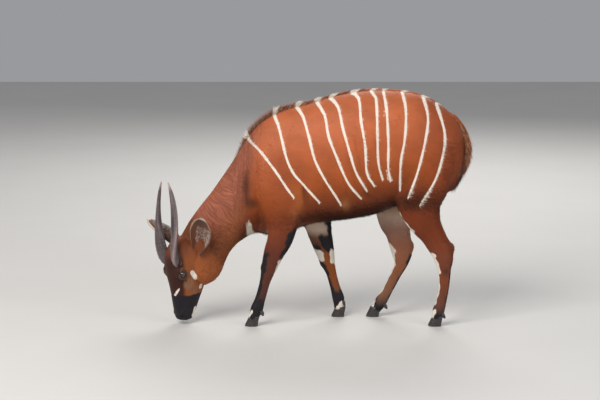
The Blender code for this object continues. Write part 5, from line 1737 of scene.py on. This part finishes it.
# %% Tail hair
def tail_roots(count, seed):
    """Roots on the tail core: a station, an angle round it, and the normal from the middle line."""
    rng = np.random.default_rng(seed)
    rows = curve_through(TAIL, 0.006)
    count = int(count * max(thin, 0.3))
    at = rng.integers(6, len(rows) - 1, count)
    turn = rng.uniform(0, 2 * math.pi, count)
    across, along = (axis[at] for axis in path_frames(rows[:, :3]))
    c, s = np.cos(turn), np.sin(turn)
    shrink = 0.60 - 0.15 * at / len(rows)
    roots = (rows[at, :3] + across * (rows[at, 4] * shrink * c)[:, None]
             + along * (rows[at, 3] * shrink * s)[:, None])
    way = unit(np.gradient(rows[:, :3], axis=0))[at]
    return roots, unit(across * c[:, None] + along * s[:, None]), way, at / (len(rows) - 1), c, rng


roots, upright, way, share, c, rng = tail_roots(5200, 171)
count = len(roots)
base = np.array((0.40, 0.115, 0.030)) * rng.uniform(0.75, 1.15, count)[:, None]
pale = (np.abs(c) > 0.86) & (rng.random(count) < 0.30)
base = layered(np.where(pale[:, None], (0.66, 0.55, 0.45), base), (0.045, 0.024, 0.024),
               step(0.62, 0.86, share))
length = np.interp(share, (0.0, 0.3, 0.6, 1.0), (0.022, 0.042, 0.060, 0.062))
length = length * rng.uniform(0.75, 1.1, count)
way = way + stray(rng, 0.22, count)
width = rng.uniform(0.0018, 0.0030, count)
lift = np.interp(share, (0, 0.5, 1), (0.36, 0.42, 0.22)) + 0.08 * rng.standard_normal(count)
hair_piece("tail_hair", roots, upright, way, plain_coat(base, roots), length, width, lift, 0.14, 0.001,
           rings=4, droop=0.16, tip_light=1.25, seed=29, body=False)

# %% Hair of the ears
for s, word in WORDS.items():
    _, way, face, across = ear_axes(s)
    rng = np.random.default_rng(200 + s)
    count = int(1300 * max(thin, 0.4))
    down = rng.random(count) < 0.55
    t = np.where(down, rng.uniform(0.14, 0.62, count), rng.uniform(0.22, 0.99, count))
    j = np.where(down, rng.uniform(-0.62, 0.62, count), np.sign(rng.random(count) - 0.5) * 0.985)
    roots = ear_leaf(s, t, j)
    e = 1e-3
    upright = unit(np.cross(ear_leaf(s, t + e, j) - ear_leaf(s, t - e, j),
                            ear_leaf(s, t, np.minimum(j + e, 1)) - ear_leaf(s, t, j - e)))
    upright = upright * np.sign(upright @ face)[:, None]
    outward_way = np.sign(j)[:, None] * across
    inside = down[:, None]
    down_way = (way + 0.5 * across * (rng.random(count)[:, None] - 0.5)
                - 0.4 * across * np.sign(j)[:, None])
    ways = np.where(inside, down_way, way * 0.8 + outward_way)
    dark_rim = (j * s > 0.9) & (t < 0.75) & (rng.random(count) < 0.8)
    base = np.where(inside, (0.82, 0.74, 0.68), (0.60, 0.46, 0.34))
    base = np.where(dark_rim[:, None] & ~inside, (0.045, 0.022, 0.016), base)
    length = np.where(down, rng.uniform(0.016, 0.034, count) * (1.15 - 0.7 * t),
                      rng.uniform(0.006, 0.011, count))
    width = rng.uniform(0.0011, 0.0018, count)
    lift = np.where(down, rng.uniform(0.15, 0.5, count), rng.uniform(-0.1, 0.2, count))
    hair_piece(f"ear_hair_{word}", roots, upright, ways, plain_coat(base, roots), length, width, lift,
               0.0, 0.0004, rings=3, seed=31 + s, body=False)

# %% Lashes
LASHES = 26
roots, ups, ways = [], [], []
for s in (-1, 1):
    out, along, across = eye_axes(s)
    a = math.pi * np.linspace(0.10, 0.90, LASHES)
    x0, y0 = 0.0158 * np.cos(a), 0.0118 * np.sin(a)
    z0 = np.sqrt(np.maximum((EYE_RADIUS + 0.0018) ** 2 - x0 ** 2 - y0 ** 2, 0)) + 0.0010
    roots.append(eye[s] + x0[:, None] * along + (y0 + 0.001)[:, None] * across + z0[:, None] * out)
    ups.append(np.tile(across, (LASHES, 1)))
    ways.append(out + 0.4 * np.cos(a)[:, None] * along)
roots, ups, ways = np.vstack(roots), np.vstack(ups), np.vstack(ways)
values = plain_coat(np.tile((0.02, 0.012, 0.010), (len(roots), 1)), roots)
hair_piece("lashes", roots, ups, ways, values, 0.0085, 0.0007, -0.15, -0.35, 0.0, rings=3, seed=41)

# %% [markdown]
# ## Floor, light and camera
# A pale floor and three soft lights show the forms without hard shadows. The camera looks from the
# side with a long lens, as the photograph does.

# %% Floor, light and camera
floor = bpy.data.meshes.new("floor")
corners = [(x, y, -0.0005) for x, y in ((-9, -7), (9, -7), (9, 11), (-9, 11))]
floor.from_pydata(corners, [], [(0, 1, 2, 3)])
floor = bpy.data.objects.new("floor", floor)
bpy.context.scene.collection.objects.link(floor)
pale, tree, shader = new_material("pale floor", Roughness=0.85)
feed(shader, Base_Color=own_place(tree).noise(1.3).mix((0.56, 0.55, 0.53, 1), (0.61, 0.60, 0.58, 1)))
floor.data.materials.append(pale)
floor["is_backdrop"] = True


def aimed(name, data, place, aim):
    """An object at a place, turned to its aim."""
    made = bpy.data.objects.new(name, data)
    made.location = place
    made.rotation_mode = "QUATERNION"
    made.rotation_quaternion = (Vector(aim) - Vector(place)).to_track_quat("-Z", "Y")
    bpy.context.scene.collection.objects.link(made)
    return made


for name, place, aim, size, power, colour in (
    ("key", (-3.5, -5.0, 6.0), (0, 0, 0.7), 4.5, 610, (1.0, 0.97, 0.93)),
    ("fill", (5.0, -4.0, 3.0), (0, 0, 0.6), 4.0, 120, (0.92, 0.96, 1.0)),
    ("back", (1.0, 5.5, 4.5), (0, 0, 0.8), 3.5, 230, (1.0, 0.98, 0.95)),
):
    lamp = bpy.data.lights.new(name, "AREA")
    lamp.energy, lamp.size, lamp.color = power, size, colour
    aimed(name, lamp, place, aim)
world = bpy.data.worlds.new("pale room")
bpy.context.scene.world = world
world.use_nodes = True
world.node_tree.nodes["Background"].inputs["Color"].default_value = (0.93, 0.95, 1.0, 1)
world.node_tree.nodes["Background"].inputs["Strength"].default_value = 0.34
AIM = np.array((-0.037, 0.0, 0.661)) + SHIFT
CAMERA_DISTANCE, CAMERA_RISE = 11.0, math.radians(10)
lens = bpy.data.cameras.new("camera")
lens.lens = 123.6
place = Vector(AIM) + CAMERA_DISTANCE * Vector((0, -math.cos(CAMERA_RISE), math.sin(CAMERA_RISE)))
bpy.context.scene.camera = aimed("camera", lens, place, AIM)
bpy.context.scene.view_settings.view_transform = "Standard"
print("camera at", [round(v, 2) for v in place])

# %% The size of what was made
low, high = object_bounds()
print("visual box", [round(v, 3) for v in (*low, *high)])
